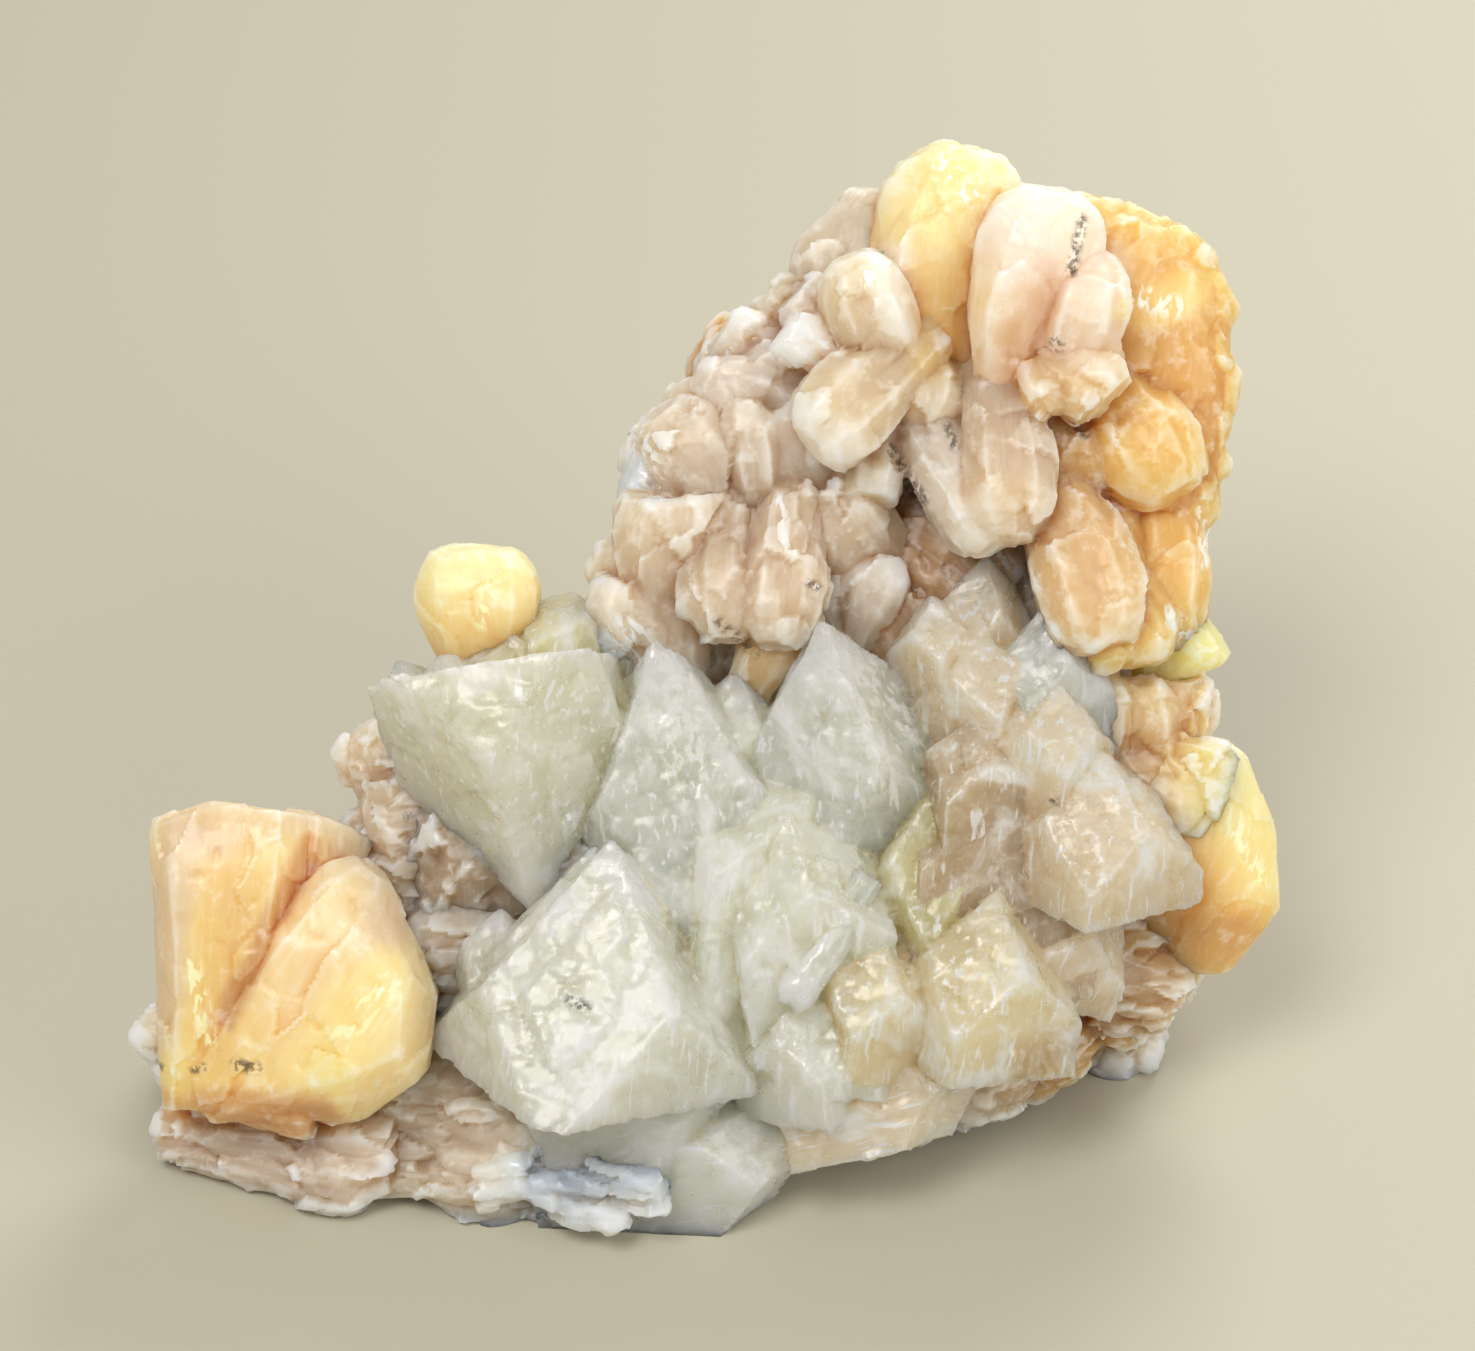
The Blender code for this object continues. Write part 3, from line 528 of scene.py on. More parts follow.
# %% Apophyllite crystals
SEED = 17
FACE_UNEVENNESS = 0.05
OVERGROWN_FROM = 4.5


def cut_off(shape, point, normal):
    geometry = shape.verts[:] + shape.edges[:] + shape.faces[:]
    cut = bmesh.ops.bisect_plane(
        shape, geom=geometry, plane_co=point, plane_no=normal, clear_outer=True, dist=1e-7
    )
    rim = [item for item in cut["geom_cut"] if isinstance(item, bmesh.types.BMEdge)]
    if rim:
        bmesh.ops.edgeloop_fill(shape, edges=rim)


def prism_shape(half_width, length, rise, depths, offset=(0, 0, 0), grown=0.0):
    """A prism whose tip is at its length along Z, cut by four pyramid faces."""
    shape = bmesh.new()
    bmesh.ops.create_cube(shape, size=2)
    side = half_width + grown
    bmesh.ops.scale(shape, vec=Vector((side, side, length)) * MM, verts=shape.verts)
    steep = Vector((rise * math.sqrt(2), 0, 1)).normalized()
    point = Vector((0, 0, length * MM))
    for quarter, depth in enumerate(depths):
        normal = Matrix.Rotation(math.radians(45 + 90 * quarter), 3, "Z") @ steep
        cut_off(shape, point + normal * (grown - depth) * MM, normal)
    cut_off(shape, Vector((0, 0, 0)), Vector((0, 0, -1)))
    bmesh.ops.translate(shape, vec=Vector(offset) * MM, verts=shape.verts)
    return shape


def overgrowths(half_width, length, rise, chance):
    """Smaller prisms on a prism's pyramid, as half width, length and offset in millimetres."""
    for number in range(round(1 + half_width / 3)):
        small = half_width * chance.uniform(0.14, 0.5)
        across = chance.uniform(-0.8, 0.8) * (half_width - small)
        along = chance.uniform(-0.8, 0.8) * (half_width - small)
        below = rise * max(abs(across + along), abs(across - along))
        lift = chance.uniform(0.1, 0.35)
        small_length = min(length * 0.5, small * 2.4)
        yield small, small_length, (across, along, length - small_length - below + lift)


def apophyllite(row, chance, extra, grown=0.0):
    tip, axis, turn, half_width, length, rise, finish = row
    turned = facing(slope_direction(axis), OUT_OF_SLOPE)
    turned = turned @ Matrix.Rotation(math.radians(turn), 4, "Z")
    place = Matrix.Translation(on_slope(tip)) @ turned @ Matrix.Translation((0, 0, -length * MM))
    depths = [chance.uniform(0, FACE_UNEVENNESS) * half_width for quarter in range(4)]
    shape = prism_shape(half_width, length, rise, depths, grown=grown)
    yield placed(shape, place, length * MM, finish)
    if half_width > OVERGROWN_FROM and not grown:
        for small, small_length, offset in overgrowths(half_width, length, rise, extra):
            shape = prism_shape(small, small_length, rise, (0, 0, 0, 0), offset)
            yield placed(shape, place, length * MM, finish)


def prisms(grown=0.0):
    prism_chance, step_chance = random.Random(SEED), random.Random(SEED + 50)
    found = []
    for row in APOPHYLLITES:
        found += [one for one in apophyllite(row, prism_chance, step_chance, grown)]
    return found


cluster_prisms = prisms() + slope_blades([LATH], 6, SHEAF)
print(len(cluster_prisms), "prisms and overgrowths")

# %% [markdown]
# ## The stone behind
# The back and the base are broken rock under a crust of stubby stilbite. The rock is a few
# lumps, each an icosphere with its corners pushed in and out. The crust blades stand on them
# wherever they are bare: a few large ones, in the same places as in the solids, and many small
# ones between them.

# %% Stone and crust
CORE_LUMPS = (
    ((28, 25, 56), (17, 11, 20)),
    ((12, 20, 43), (18, 13, 20)),
    ((31, 16, 32), (17, 17, 22)),
    ((4, 0, 13), (30, 24, 19)),
    ((-31, -12, 6), (19, 15, 13)),
    ((27, -1, 12), (19, 17, 15)),
    ((20, 19, 8), (24, 18, 17)),
    ((-18, -6, 22), (14, 12, 15)),
)
RIM_LUMPS = (
    ((-41, -23.5, 3), (12, 8, 8)),
    ((-14, -28.5, 1), (10, 8, 6)),
    ((2, -24, 2), (10, 7.5, 7)),
    ((22, -16, 3), (7.5, 7, 8)),
    ((33, -11.5, 5), (8, 7.5, 8)),
    ((41, -3.5, 11), (7, 8, 7)),
    ((46, 1, 19), (6, 8, 8)),
)
LUMP_ROUGHNESS = 0.12
CRUST_SPACING = 10
CRUST_WIDTH = 16.0
CRUST_THICKNESS = 11.0
CRUST_DEPTH = 9.0
CRUST_RISE = 4.2
CRUST_CLEAR_OF_SLOPE = -10.0
CRUST_CLEAR_OF_BASE = 4.0
FINE_SPACING = 90
FINE_DEPTH = 5
TOP_LUMP_DEPTH = -3.5
LARGE_DEPTH = -6.5
SMALL_DEPTH = -9.5
CRUST_FINISHES = ("tan", "beige", "rosy_tan", "milk", "beige_grey", "amber", "rosy_beige")


def lump(centre, half_sizes, chance):
    shape = bmesh.new()
    bmesh.ops.create_icosphere(shape, subdivisions=2, radius=1)
    for vert in shape.verts:
        vert.co *= 1 + chance.uniform(-1, 1) * LUMP_ROUGHNESS
    bmesh.ops.scale(shape, vec=Vector(half_sizes) * MM, verts=shape.verts)
    place = Matrix.Translation((Vector(centre) - CENTRED) * MM)
    return placed(shape, place, half_sizes[2] * MM, "stone")


def press_back(crystal, depth):
    """Presses a lump back to this height on the front, so that it stays behind the blades."""
    for vert in crystal["shape"].verts:
        proud = (vert.co - on_slope((0, 0, 0))).dot(OUT_OF_SLOPE) - depth * MM
        vert.co -= OUT_OF_SLOPE * max(0, proud)


def spiral_directions(count):
    golden_turn = math.pi * (3 - math.sqrt(5))
    for i in range(count):
        height = 1 - 2 * (i + 0.5) / count
        ring = math.sqrt(1 - height * height)
        yield Vector((math.cos(i * golden_turn) * ring, math.sin(i * golden_turn) * ring, height))


def inside_lump(point, other):
    reach = [(point[i] - other[0][i]) / other[1][i] for i in range(3)]
    return sum(part * part for part in reach) < 0.9


def behind_the_wall(place, depth):
    """Whether a place is this far behind the front, so that the wall's own blades cover it."""
    return (Vector(place) - on_slope((0, 0, 0))).dot(OUT_OF_SLOPE) < depth * MM


def places_on_lumps(count):
    """Evenly spread places on each lump, the way out of it, and whether the stone is bare."""
    for lump_row in CORE_LUMPS:
        centre, half_sizes = Vector(lump_row[0]), Vector(lump_row[1])
        others = [other for other in CORE_LUMPS if other is not lump_row]
        for direction in spiral_directions(count):
            point = centre + Vector([direction[i] * half_sizes[i] for i in range(3)])
            out = Vector([direction[i] / half_sizes[i] for i in range(3)]).normalized()
            proud = (point - Vector((0, FOOT_Y, 0))).dot(OUT_OF_SLOPE)
            clear = proud <= CRUST_CLEAR_OF_SLOPE and point.z >= CRUST_CLEAR_OF_BASE
            yield point, out, clear and not any(inside_lump(point, other) for other in others)


def crust_row(point, heading, depth, rise, width, thickness, finish):
    root = (point - CENTRED - heading * depth) * MM
    tip = (point - CENTRED + heading * rise) * MM
    return root, tip, width, thickness, BLUNT_END, finish


def crust(chance, look_chance):
    """The large blades of the crust, in the same places as in the solids."""
    for point, out, bare in places_on_lumps(CRUST_SPACING):
        lean = Vector([chance.uniform(-0.5, 0.5) for _ in range(3)])
        rise = CRUST_RISE * chance.uniform(0.4, 1.3)
        width = CRUST_WIDTH * chance.uniform(0.8, 1.2)
        if not bare:
            continue
        finish = look_chance.choice(CRUST_FINISHES)
        heading = (out + lean).normalized()
        row = crust_row(point, heading, CRUST_DEPTH, rise, width, CRUST_THICKNESS, finish)
        if behind_the_wall(row[1], LARGE_DEPTH):
            yield blade_body(row, look_chance, lean)
        for small in side_petals(row, look_chance):
            if behind_the_wall(small[1], SMALL_DEPTH):
                yield blade_body(small, look_chance, lean)


def fine_crust(chance):
    """Small blades all over the bare stone, deep enough in it to hold and low enough to fit."""
    for point, out, bare in places_on_lumps(FINE_SPACING):
        lean = Vector([chance.uniform(-0.9, 0.9) for _ in range(3)])
        width, rise = chance.uniform(3, 9), chance.uniform(0.4, 2.2)
        finish = chance.choice(CRUST_FINISHES)
        if not bare:
            continue
        heading = (out + lean).normalized()
        row = crust_row(point, heading, FINE_DEPTH, rise, width, width * 0.7, finish)
        if behind_the_wall(row[1], SMALL_DEPTH):
            yield blade_body(row, chance, lean)


stone_chance = random.Random(SEED + 1)
lumps = [lump(*row, stone_chance) for row in CORE_LUMPS + RIM_LUMPS]
press_back(lumps[0], TOP_LUMP_DEPTH)
crust_blades = list(crust(stone_chance, random.Random(SEED + 2)))
crust_blades += list(fine_crust(random.Random(SEED + 3)))
print(len(lumps), "lumps of stone and", len(crust_blades), "blades of crust")

# %% [markdown]
# ## Growing a piece from its crystals
# Crystals that overlap are one body in nature, with no walls inside it. A voxel remesh makes
# that body, with even faces that are small enough to carry detail, but it rounds every edge.
# So each vertex is then moved to the nearest face of a crystal, and next to an edge to the
# place where the neighbouring faces meet, which brings the crisp facets back. Two faces can be
# equally near, so they are searched in a fixed order, and every run gives the same piece.

# %% Voxel body with its facets restored
COARSE = 1.0


def joined(name, crystals):
    """All crystals in one mesh, cut flat at the bottom, and each face's crystal number."""
    whole = bmesh.new()
    owners = []
    for number, crystal in enumerate(crystals):
        shape = crystal["shape"]
        if min(vert.co.z for vert in shape.verts) < 0:
            cut_off(shape, Vector((0, 0, 0)), Vector((0, 0, -1)))
        mesh = bpy.data.meshes.new(name)
        shape.to_mesh(mesh)
        whole.from_mesh(mesh)
        owners += [number] * len(mesh.polygons)
        bpy.data.meshes.remove(mesh)
    return whole, np.array(owners)


def remeshed(name, whole, voxel):
    mesh = bpy.data.meshes.new(name)
    whole.to_mesh(mesh)
    source = bpy.data.objects.new(name + "_source", mesh)
    bpy.context.scene.collection.objects.link(source)
    step = source.modifiers.new("body", "REMESH")
    step.mode = "VOXEL"
    step.voxel_size = voxel * MM * COARSE
    step.adaptivity = 0
    graph = bpy.context.evaluated_depsgraph_get()
    body = bpy.data.meshes.new_from_object(source.evaluated_get(graph))
    bpy.data.objects.remove(source)
    bpy.data.meshes.remove(mesh)
    body.name = name
    return body


def column(mesh_items, name, kind, width):
    values = np.empty(len(mesh_items) * width, dtype=kind)
    mesh_items.foreach_get(name, values)
    return values.reshape(-1, width) if width > 1 else values


def neighbour_sum(values, edges):
    total = np.zeros_like(values)
    for here, there in ((0, 1), (1, 0)):
        for part in range(values.shape[1]):
            weights = values[edges[:, there], part]
            total[:, part] += np.bincount(edges[:, here], weights=weights, minlength=len(values))
    return total


def faces_in_order(whole, owners):
    """Each face's corners and crystal. A cut may list faces in any order, so they are sorted."""
    whole.verts.index_update()
    rows = []
    for face, owner in zip(whole.faces, owners):
        corners = [vert.index for vert in face.verts]
        first = corners.index(min(corners))
        corners = corners[first:] + corners[:first]
        if corners[-1] < corners[1]:
            corners = corners[:1] + corners[:0:-1]
        rows.append((corners, int(owner)))
    rows.sort()
    return [corners for corners, owner in rows], np.array([owner for corners, owner in rows])


def nearest_faces(points, whole, owners):
    """For each point: the nearest place on the crystals, its normal and its crystal's number."""
    corners, owners = faces_in_order(whole, owners)
    tree = BVHTree.FromPolygons([vert.co for vert in whole.verts], corners)
    places, normals = np.empty_like(points), np.empty_like(points)
    faces = np.empty(len(points), dtype=int)
    for number, point in enumerate(points):
        place, normal, face, distance = tree.find_nearest(point)
        places[number], normals[number], faces[number] = place, normal, face
    return places, normals, owners[faces]


def sharpened(places, normals, edges, furthest):
    """Moves each place towards where its own and its neighbours' faces meet."""
    offsets = np.sum(places * normals, axis=1)
    first, second = np.triu_indices(3)
    facts = np.hstack([normals[:, first] * normals[:, second], normals * offsets[:, None]])
    facts = facts + 0.6 * neighbour_sum(facts, edges)
    grid = np.empty((len(places), 3, 3))
    grid[:, first, second] = facts[:, :6]
    grid[:, second, first] = facts[:, :6]
    pull = 0.12
    grid += np.eye(3) * pull
    aims = facts[:, 6:] + places * pull
    moved = np.linalg.solve(grid, aims[:, :, None])[:, :, 0]
    step = moved - places
    length = np.linalg.norm(step, axis=1, keepdims=True)
    return places + step * np.minimum(1, furthest / np.maximum(length, 1e-12))


print("faces are", "full size")

# %% [markdown]
# ## Relief
# Small random lattices give all the relief, in two ways. One is smooth waves. The other breaks
# the surface into flat facets at random tilts, as cleavage and breakage do. Ridges and
# striations are read in the crystal's own directions, so that they run along each crystal and
# end at its tip. Breakage is read in the frame, so that it carries on from one to the next.

# %% Noise and relief
LATTICE = np.random.default_rng(5).random((32, 32, 32))
SEEDS = np.random.default_rng(6).random((32, 32, 32, 3))
TILTS = np.random.default_rng(7).uniform(-1, 1, (32, 32, 32, 3))


def waves(points):
    """Smooth noise from 0 to 1 with about one bump for each unit of length."""
    cell = np.floor(points).astype(int)
    part = points - cell
    part = part * part * (3 - 2 * part)
    total = np.zeros(len(points))
    for corner in np.ndindex(2, 2, 2):
        at = (cell + corner) % 32
        share = np.prod(np.where(corner, part, 1 - part), axis=1)
        total += share * LATTICE[at[:, 0], at[:, 1], at[:, 2]]
    return total


def smooth_step(values, low, high):
    share = np.clip((values - low) / (high - low), 0, 1)
    return share * share * (3 - 2 * share)


def facets(points):
    """A surface broken into flat facets at random tilts, about one for each unit of length."""
    cell = np.floor(points).astype(int)
    nearest = np.full(len(points), 9.0)
    heights = np.zeros(len(points))
    for step in np.ndindex(3, 3, 3):
        other = cell + np.array(step) - 1
        at = tuple((other % 32).T)
        away = points - other - SEEDS[at]
        distance = np.sum(away * away, axis=1)
        closer = distance < nearest
        nearest[closer] = distance[closer]
        heights[closer] = np.sum(away * TILTS[at], axis=1)[closer]
    return heights


def stilbite_relief(grain, across_end, points):
    """Millimetres of relief: flat lath faces, ridges that grow stronger on ends, small chips."""
    laths = facets(grain * (0.19, 0.19, 0.11))
    broken = facets(points * (0.24, 0.24, 0.14) + 3)
    small = facets(grain * (0.6, 0.6, 0.3) + 5)
    ridges = waves(grain * (0.8, 0.8, 0.05)) - 0.5
    fine = waves(grain * (2.1, 2.1, 0.12) + 7) - 0.5
    chips = smooth_step(waves(points * 0.55 + 11), 0.66, 0.8)
    lines = (0.05 * ridges + 0.03 * fine) * (1 + 2 * across_end)
    return lines + 0.45 * laths + 0.65 * broken + 0.14 * small - 0.1 * chips


def scaly_relief(grain, across_end, points):
    """The foot is broken into thin level scales."""
    scales = facets(points * (0.15, 0.15, 0.5))
    flakes = facets(points * (0.35, 0.35, 1.1) + 5)
    chips = smooth_step(waves(points * 0.55 + 11), 0.66, 0.8)
    return 0.9 * scales + 0.35 * flakes - 0.15 * chips


def silky_relief(grain, across_end, points):
    """The finer relief of the smooth golden sheaves."""
    ridges = waves(grain * (0.7, 0.7, 0.04)) - 0.5
    fine = waves(grain * (2.3, 2.3, 0.1) + 7) - 0.5
    chips = smooth_step(waves(points * 0.6 + 11), 0.7, 0.82)
    lines = (0.05 * ridges + 0.04 * fine) * (1 + 2 * across_end)
    return lines + 0.4 * facets(grain * (0.22, 0.22, 0.12)) - 0.16 * chips


def apophyllite_relief(grain, across_end, points):
    """Striations along the prism, terraces on the pyramid, chips and a few pits."""
    striations = waves(grain * (1.7, 1.7, 0.06)) - 0.5
    terraces = waves(grain * 0.34 + 3) * 4
    terraces = (np.floor(terraces) + smooth_step(terraces % 1, 0.35, 0.65)) / 4
    fine = waves(points * 1.3) - 0.5
    pits = smooth_step(waves(points * 0.9 + 20), 0.74, 0.86)
    chips = smooth_step(waves(points * 0.4 + 31), 0.7, 0.84)
    along = 0.16 * striations * (1 - across_end)
    broken = 0.3 * facets(grain * 0.3) + 0.1 * facets(grain * 0.8 + 9)
    return along + broken + 0.24 * (terraces - 0.5) + 0.03 * fine - 0.14 * pits - 0.25 * chips


def stone_relief(grain, across_end, points):
    """Stone breaks in flat faces of every size."""
    large = facets(points * 0.11)
    middling = facets(points * 0.27 + 3)
    small = facets(points * (0.6, 0.6, 0.8) + 5)
    return 1.3 * large + 0.7 * middling + 0.25 * small


print("lattice of", LATTICE.size, "random heights")

# %% [markdown]
# ## Writing what a material has to know on the mesh
# Each vertex keeps five things: its place along and across its own crystal, the crystal's
# colour there, how deep in a crevice it is, which the materials use for painted shade in the
# crevices and painted highlights on the rims, where it has dark specks, and how much it glints.
# The materials read them as attributes, so the patterns follow the crystals and stay with the
# mesh when it is exported. Dark specks, glints and stains are soft strips, each between two
# places on the front. A glint is where growth steps catch the light, and a stain shifts the
# colour of a sheaf; some stains are painted highlights and painted shade.

# %% Surface facts
GLINTS = (
    ((10.8, 57.4), (21.4, 47.4), 2.2),
    ((13.2, 53.5), (17.5, 41.5), 1.6),
    ((-9.6, 36.2), (1.6, 25.4), 1.7),
    ((-7.6, 57), (-1.5, 45), 3.2),
    ((35.2, 45.2), (39.4, 42.6), 1.2),
    ((32.3, 57.6), (32.8, 54.4), 1.0),
    ((27.6, 65), (31, 62), 1.0),
    ((14.6, 36), (8.6, 24), 1.6),
    ((40.5, 89.6), (44.6, 88.6), 1.7),
    ((22.2, 102.2), (25.4, 98.6), 1.5),
    ((15, 91.4), (15.6, 88.6), 0.9),
    ((9.2, 86), (12.4, 84), 0.9),
    ((6.8, 70), (7.2, 65.6), 0.9),
    ((-6.8, 76), (-4.6, 70.2), 2.0),
    ((10.4, 61.8), (13.4, 60.4), 1.1),
    ((-17.4, 6.6), (-9, 5), 1.8),
    ((8.4, 18.6), (9.6, 15.4), 0.8),
    ((-34, 20), (-29.8, 24), 2.4),
    ((-48.4, 26), (-47, 19), 1.3),
    ((-20.6, 62), (-21.4, 58.4), 1.2),
    ((44, 59), (47.6, 55), 1.4),
    ((47.4, 70), (47.4, 64), 0.8),
    ((50, 40), (53, 34), 1.4),
)
# Strips where the surface gets near-black specks.
DARK_SPECKS = (
    ((35.2, 96.2), (34.2, 91.2), 0.6),
    ((32.6, 84.8), (33.2, 84.2), 0.5),
    ((1, 58.4), (4.5, 55.4), 0.5),
    ((9.6, 62), (10.4, 61.6), 0.5),
    ((17.4, 75), (20.4, 70), 0.7),
    ((22.8, 77), (23.4, 75), 0.5),
    ((23, 63.6), (24, 62), 0.8),
    ((34.4, 77), (36, 76.2), 0.5),
    ((-52.6, 16.2), (-51.8, 16.2), 0.5),
    ((-48.4, 16.2), (-47.6, 16.4), 0.5),
    ((-44.2, 16.8), (-42.4, 16.5), 0.7),
    ((-12.6, 23.4), (-11.2, 22.6), 0.7),
    ((32.3, 41.5), (32.7, 41.5), 0.4),
    ((-29, 40), (-28.6, 39.6), 0.5),
)
# Not every strip is only a stain: the white strips on the wall above the apophyllite are painted
# highlights, the shell pink bands on the bow-tie are its pink rim with painted shade, the rust
# strip along its bottom is its orange under face with painted shade, and the bronze strip is brown
# with painted shade under the overhang at the right.
STAINS_AND_PAINTED_LIGHT = (
    ((-53.4, 20), (-50, 37.5), 4.5, 0.75, "shell_pink_with_painted_shade"),
    ((-49, 39.2), (-38, 40.4), 3.6, 0.75, "shell_pink_with_painted_shade"),
    ((-33, 37), (-30, 31), 4.0, 0.7, "shell_pink_with_painted_shade"),
    ((-47, 17), (-44, 34), 4.5, 0.6, "gold"),
    ((-36, 17), (-31, 24), 5.0, 0.6, "lemon"),
    ((-51, 12), (-36, 11.5), 3.4, 0.9, "rust"),
    ((-38, 37), (-45, 21), 1.6, 0.8, "rust"),
    ((22, 96), (24, 103), 3.5, 0.5, "lemon"),
    ((21, 84), (24, 90), 4.5, 0.5, "gold"),
    ((29, 82), (31, 90), 3.0, 0.5, "rust"),
    ((26, 70), (30, 66), 4.5, 0.4, "peach"),
    ((41, 88), (46, 90), 3.0, 0.6, "lemon"),
    ((48, 44), (54, 36), 6.0, 0.6, "lemon"),
    ((44, 28), (53, 27), 5.0, 0.8, "amber"),
    ((-19, 6), (-7, 5), 3.0, 0.9, "white"),
    ((30, 14), (45, 22), 5.5, 0.7, "brown_with_painted_shade"),
    ((29, 92), (31, 98), 4.0, 0.35, "white"),
    ((36, 84), (37, 91), 4.0, 0.6, "rosy_white"),
    ((16.5, 92), (18, 86), 3.0, 0.6, "white"),
    ((8, 78), (12, 74), 3.0, 0.5, "white"),
    ((21, 74), (26, 68), 3.0, 0.4, "white"),
)


SPECK_SPREAD = 1.3
HOLLOW_ROUNDS = 28
RESTING = 0.3
CRYSTAL_OFFSET = 5.3
SHARP_ANGLE = math.radians(42)


def slope_places(points):
    """Millimetres across and up the slope for points of the frame."""
    out = points / MM - np.array(FOOT)
    return np.stack([out @ np.array(RIGHT), out @ np.array(UP_SLOPE)], axis=1)


def strip(places, start, end, size):
    """From 1 along a line between two places to 0 at this distance from it."""
    start, run = np.array(start), np.array(end) - np.array(start)
    share = np.clip((places - start) @ run / (run @ run), 0, 1)
    away = np.linalg.norm(places - start - share[:, None] * run, axis=1)
    return smooth_step(-away, -size, -size * 0.3)


def most_of(strips, points, widened=1.0):
    """The strongest of some strips at each point."""
    places = slope_places(points)
    most = np.zeros(len(points))
    for start, end, size in strips:
        most = np.maximum(most, strip(places, start, end, size * widened))
    return most


# Shifts the tints towards each strip's colour: stains, painted highlights and painted shade.
def stained_and_painted(points, tints, in_front):
    places = slope_places(points) + (waves(points / MM * 0.3) - 0.5)[:, None] * 3
    for start, end, size, strength, finish in STAINS_AND_PAINTED_LIGHT:
        share = (strip(places, start, end, size) * strength * in_front)[:, None]
        tints = tints + (linear(FINISHES[finish][1]) - tints) * share
    return tints


def softened(points, edges, rounds, share=0.5):
    """The points after some rounds of moving each towards the middle of its neighbours."""
    count = neighbour_sum(np.ones((len(points), 1)), edges)
    for _ in range(rounds):
        middle = neighbour_sum(points, edges) / np.maximum(count, 1)
        points = (1 - share) * points + share * middle
    return points


def hollow_at(points, normals, edges):
    """How far, in millimetres, the surface lies inside its own smoothed shape."""
    smooth = softened(points, edges, HOLLOW_ROUNDS, 0.6)
    return np.sum((smooth - points) * normals, axis=1) / MM


def keep(mesh, name, kind, values):
    attribute = mesh.attributes.new(name, kind, "POINT")
    field = {"FLOAT": "value", "FLOAT_VECTOR": "vector", "FLOAT_COLOR": "color"}[kind]
    attribute.data.foreach_set(field, np.ascontiguousarray(values, dtype=np.float32).ravel())


def grow(name, crystals, voxel, relief, crispness=1.0, soft_rounds=0):
    """Makes one piece of the specimen from its crystals."""
    whole, owners = joined(name, crystals)
    mesh = remeshed(name, whole, voxel)
    edges = column(mesh.edges, "vertices", np.int32, 2)
    points = column(mesh.vertices, "co", np.float32, 3).astype(float)
    places, normals, number = nearest_faces(points, whole, owners)
    whole.free()
    reach = voxel * MM * COARSE
    crisp = sharpened(places, normals, edges, 0.75 * reach)
    near = np.linalg.norm(places - points, axis=1, keepdims=True) < 1.2 * reach
    points = np.where(near, points + (crisp - points) * crispness, points)
    resting = points[:, 2:] < RESTING * MM
    points = np.where(resting, points, softened(points, edges, soft_rounds))

    to_local = np.array([np.array(crystal["place"].inverted()) for crystal in crystals])[number]
    local = np.einsum("nij,nj->ni", to_local[:, :3, :3], points) + to_local[:, :3, 3]
    lengths = np.array([crystal["length"] for crystal in crystals])[number]
    grain = local / MM + (number * CRYSTAL_OFFSET)[:, None]
    shares = np.clip(local[:, 2] / lengths, 0, 1)[:, None]
    roots = np.array([linear(FINISHES[crystal["finish"]][0]) for crystal in crystals])[number]
    tips = np.array([linear(FINISHES[crystal["finish"]][1]) for crystal in crystals])[number]
    tints = roots + (tips - roots) * shares

    mesh.vertices.foreach_set("co", points.astype(np.float32).ravel())
    mesh.update()
    normals = column(mesh.vertex_normals, "vector", np.float32, 3).astype(float)
    axes = np.array([np.array(crystal["place"].to_3x3().col[2]) for crystal in crystals])[number]
    across_end = np.abs(np.sum(normals * axes, axis=1))
    height = relief(grain, across_end, points / MM)
    height *= np.array([crystal.get("calm", 1.0) for crystal in crystals])[number]
    height *= smooth_step(points[:, 2] / MM, 0.1, 1.0)
    points = points + normals * height[:, None] * MM
    points[:, 2] = np.maximum(points[:, 2], 0)
    mesh.vertices.foreach_set("co", points.astype(np.float32).ravel())
    mesh.update()

    normals = column(mesh.vertex_normals, "vector", np.float32, 3).astype(float)
    in_front = smooth_step(normals @ np.array(OUT_OF_SLOPE), -0.1, 0.3)
    colours = np.hstack([stained_and_painted(points, tints, in_front), np.ones((len(tints), 1))])
    keep(mesh, "grain", "FLOAT_VECTOR", grain)
    keep(mesh, "tint", "FLOAT_COLOR", colours)
    # How deep each vertex lies in a crevice: the materials paint shade where it is deep and paint
    # highlights on the rims.
    keep(mesh, "hollow", "FLOAT", hollow_at(points, normals, edges))
    keep(mesh, "dark_specks", "FLOAT", most_of(DARK_SPECKS, points, SPECK_SPREAD) * in_front)
    keep(mesh, "glint", "FLOAT", most_of(GLINTS, points) * in_front)
    mesh.polygons.foreach_set("use_smooth", [True] * len(mesh.polygons))
    mesh.set_sharp_from_angle(angle=SHARP_ANGLE)
    piece = bpy.data.objects.new(name, mesh)
    bpy.context.scene.collection.objects.link(piece)
    triangles = sum(len(face.vertices) - 2 for face in mesh.polygons)
    print(name, "has", triangles, "triangles from", len(crystals), "crystals")
    return piece


print(len(DARK_SPECKS), "speckled places and", len(GLINTS), "glints")

# %% [markdown]
# ## Where stone and apophyllite touch
# A crystal that grows on rock ends where the rock begins. So the space that the apophyllite
# fills, a little drawn in, is taken out of each stilbite piece it touches with a Boolean.
# Looking into a clear crystal, the eye then meets its contact with the stone, and not stone
# standing inside it. Loose chips that a cut leaves behind are removed.

# %% Contact space
CONTACT = -0.3
SMALLEST_CHIP = 0.03


def no_relief(grain, across_end, points):
    return np.zeros(len(points))


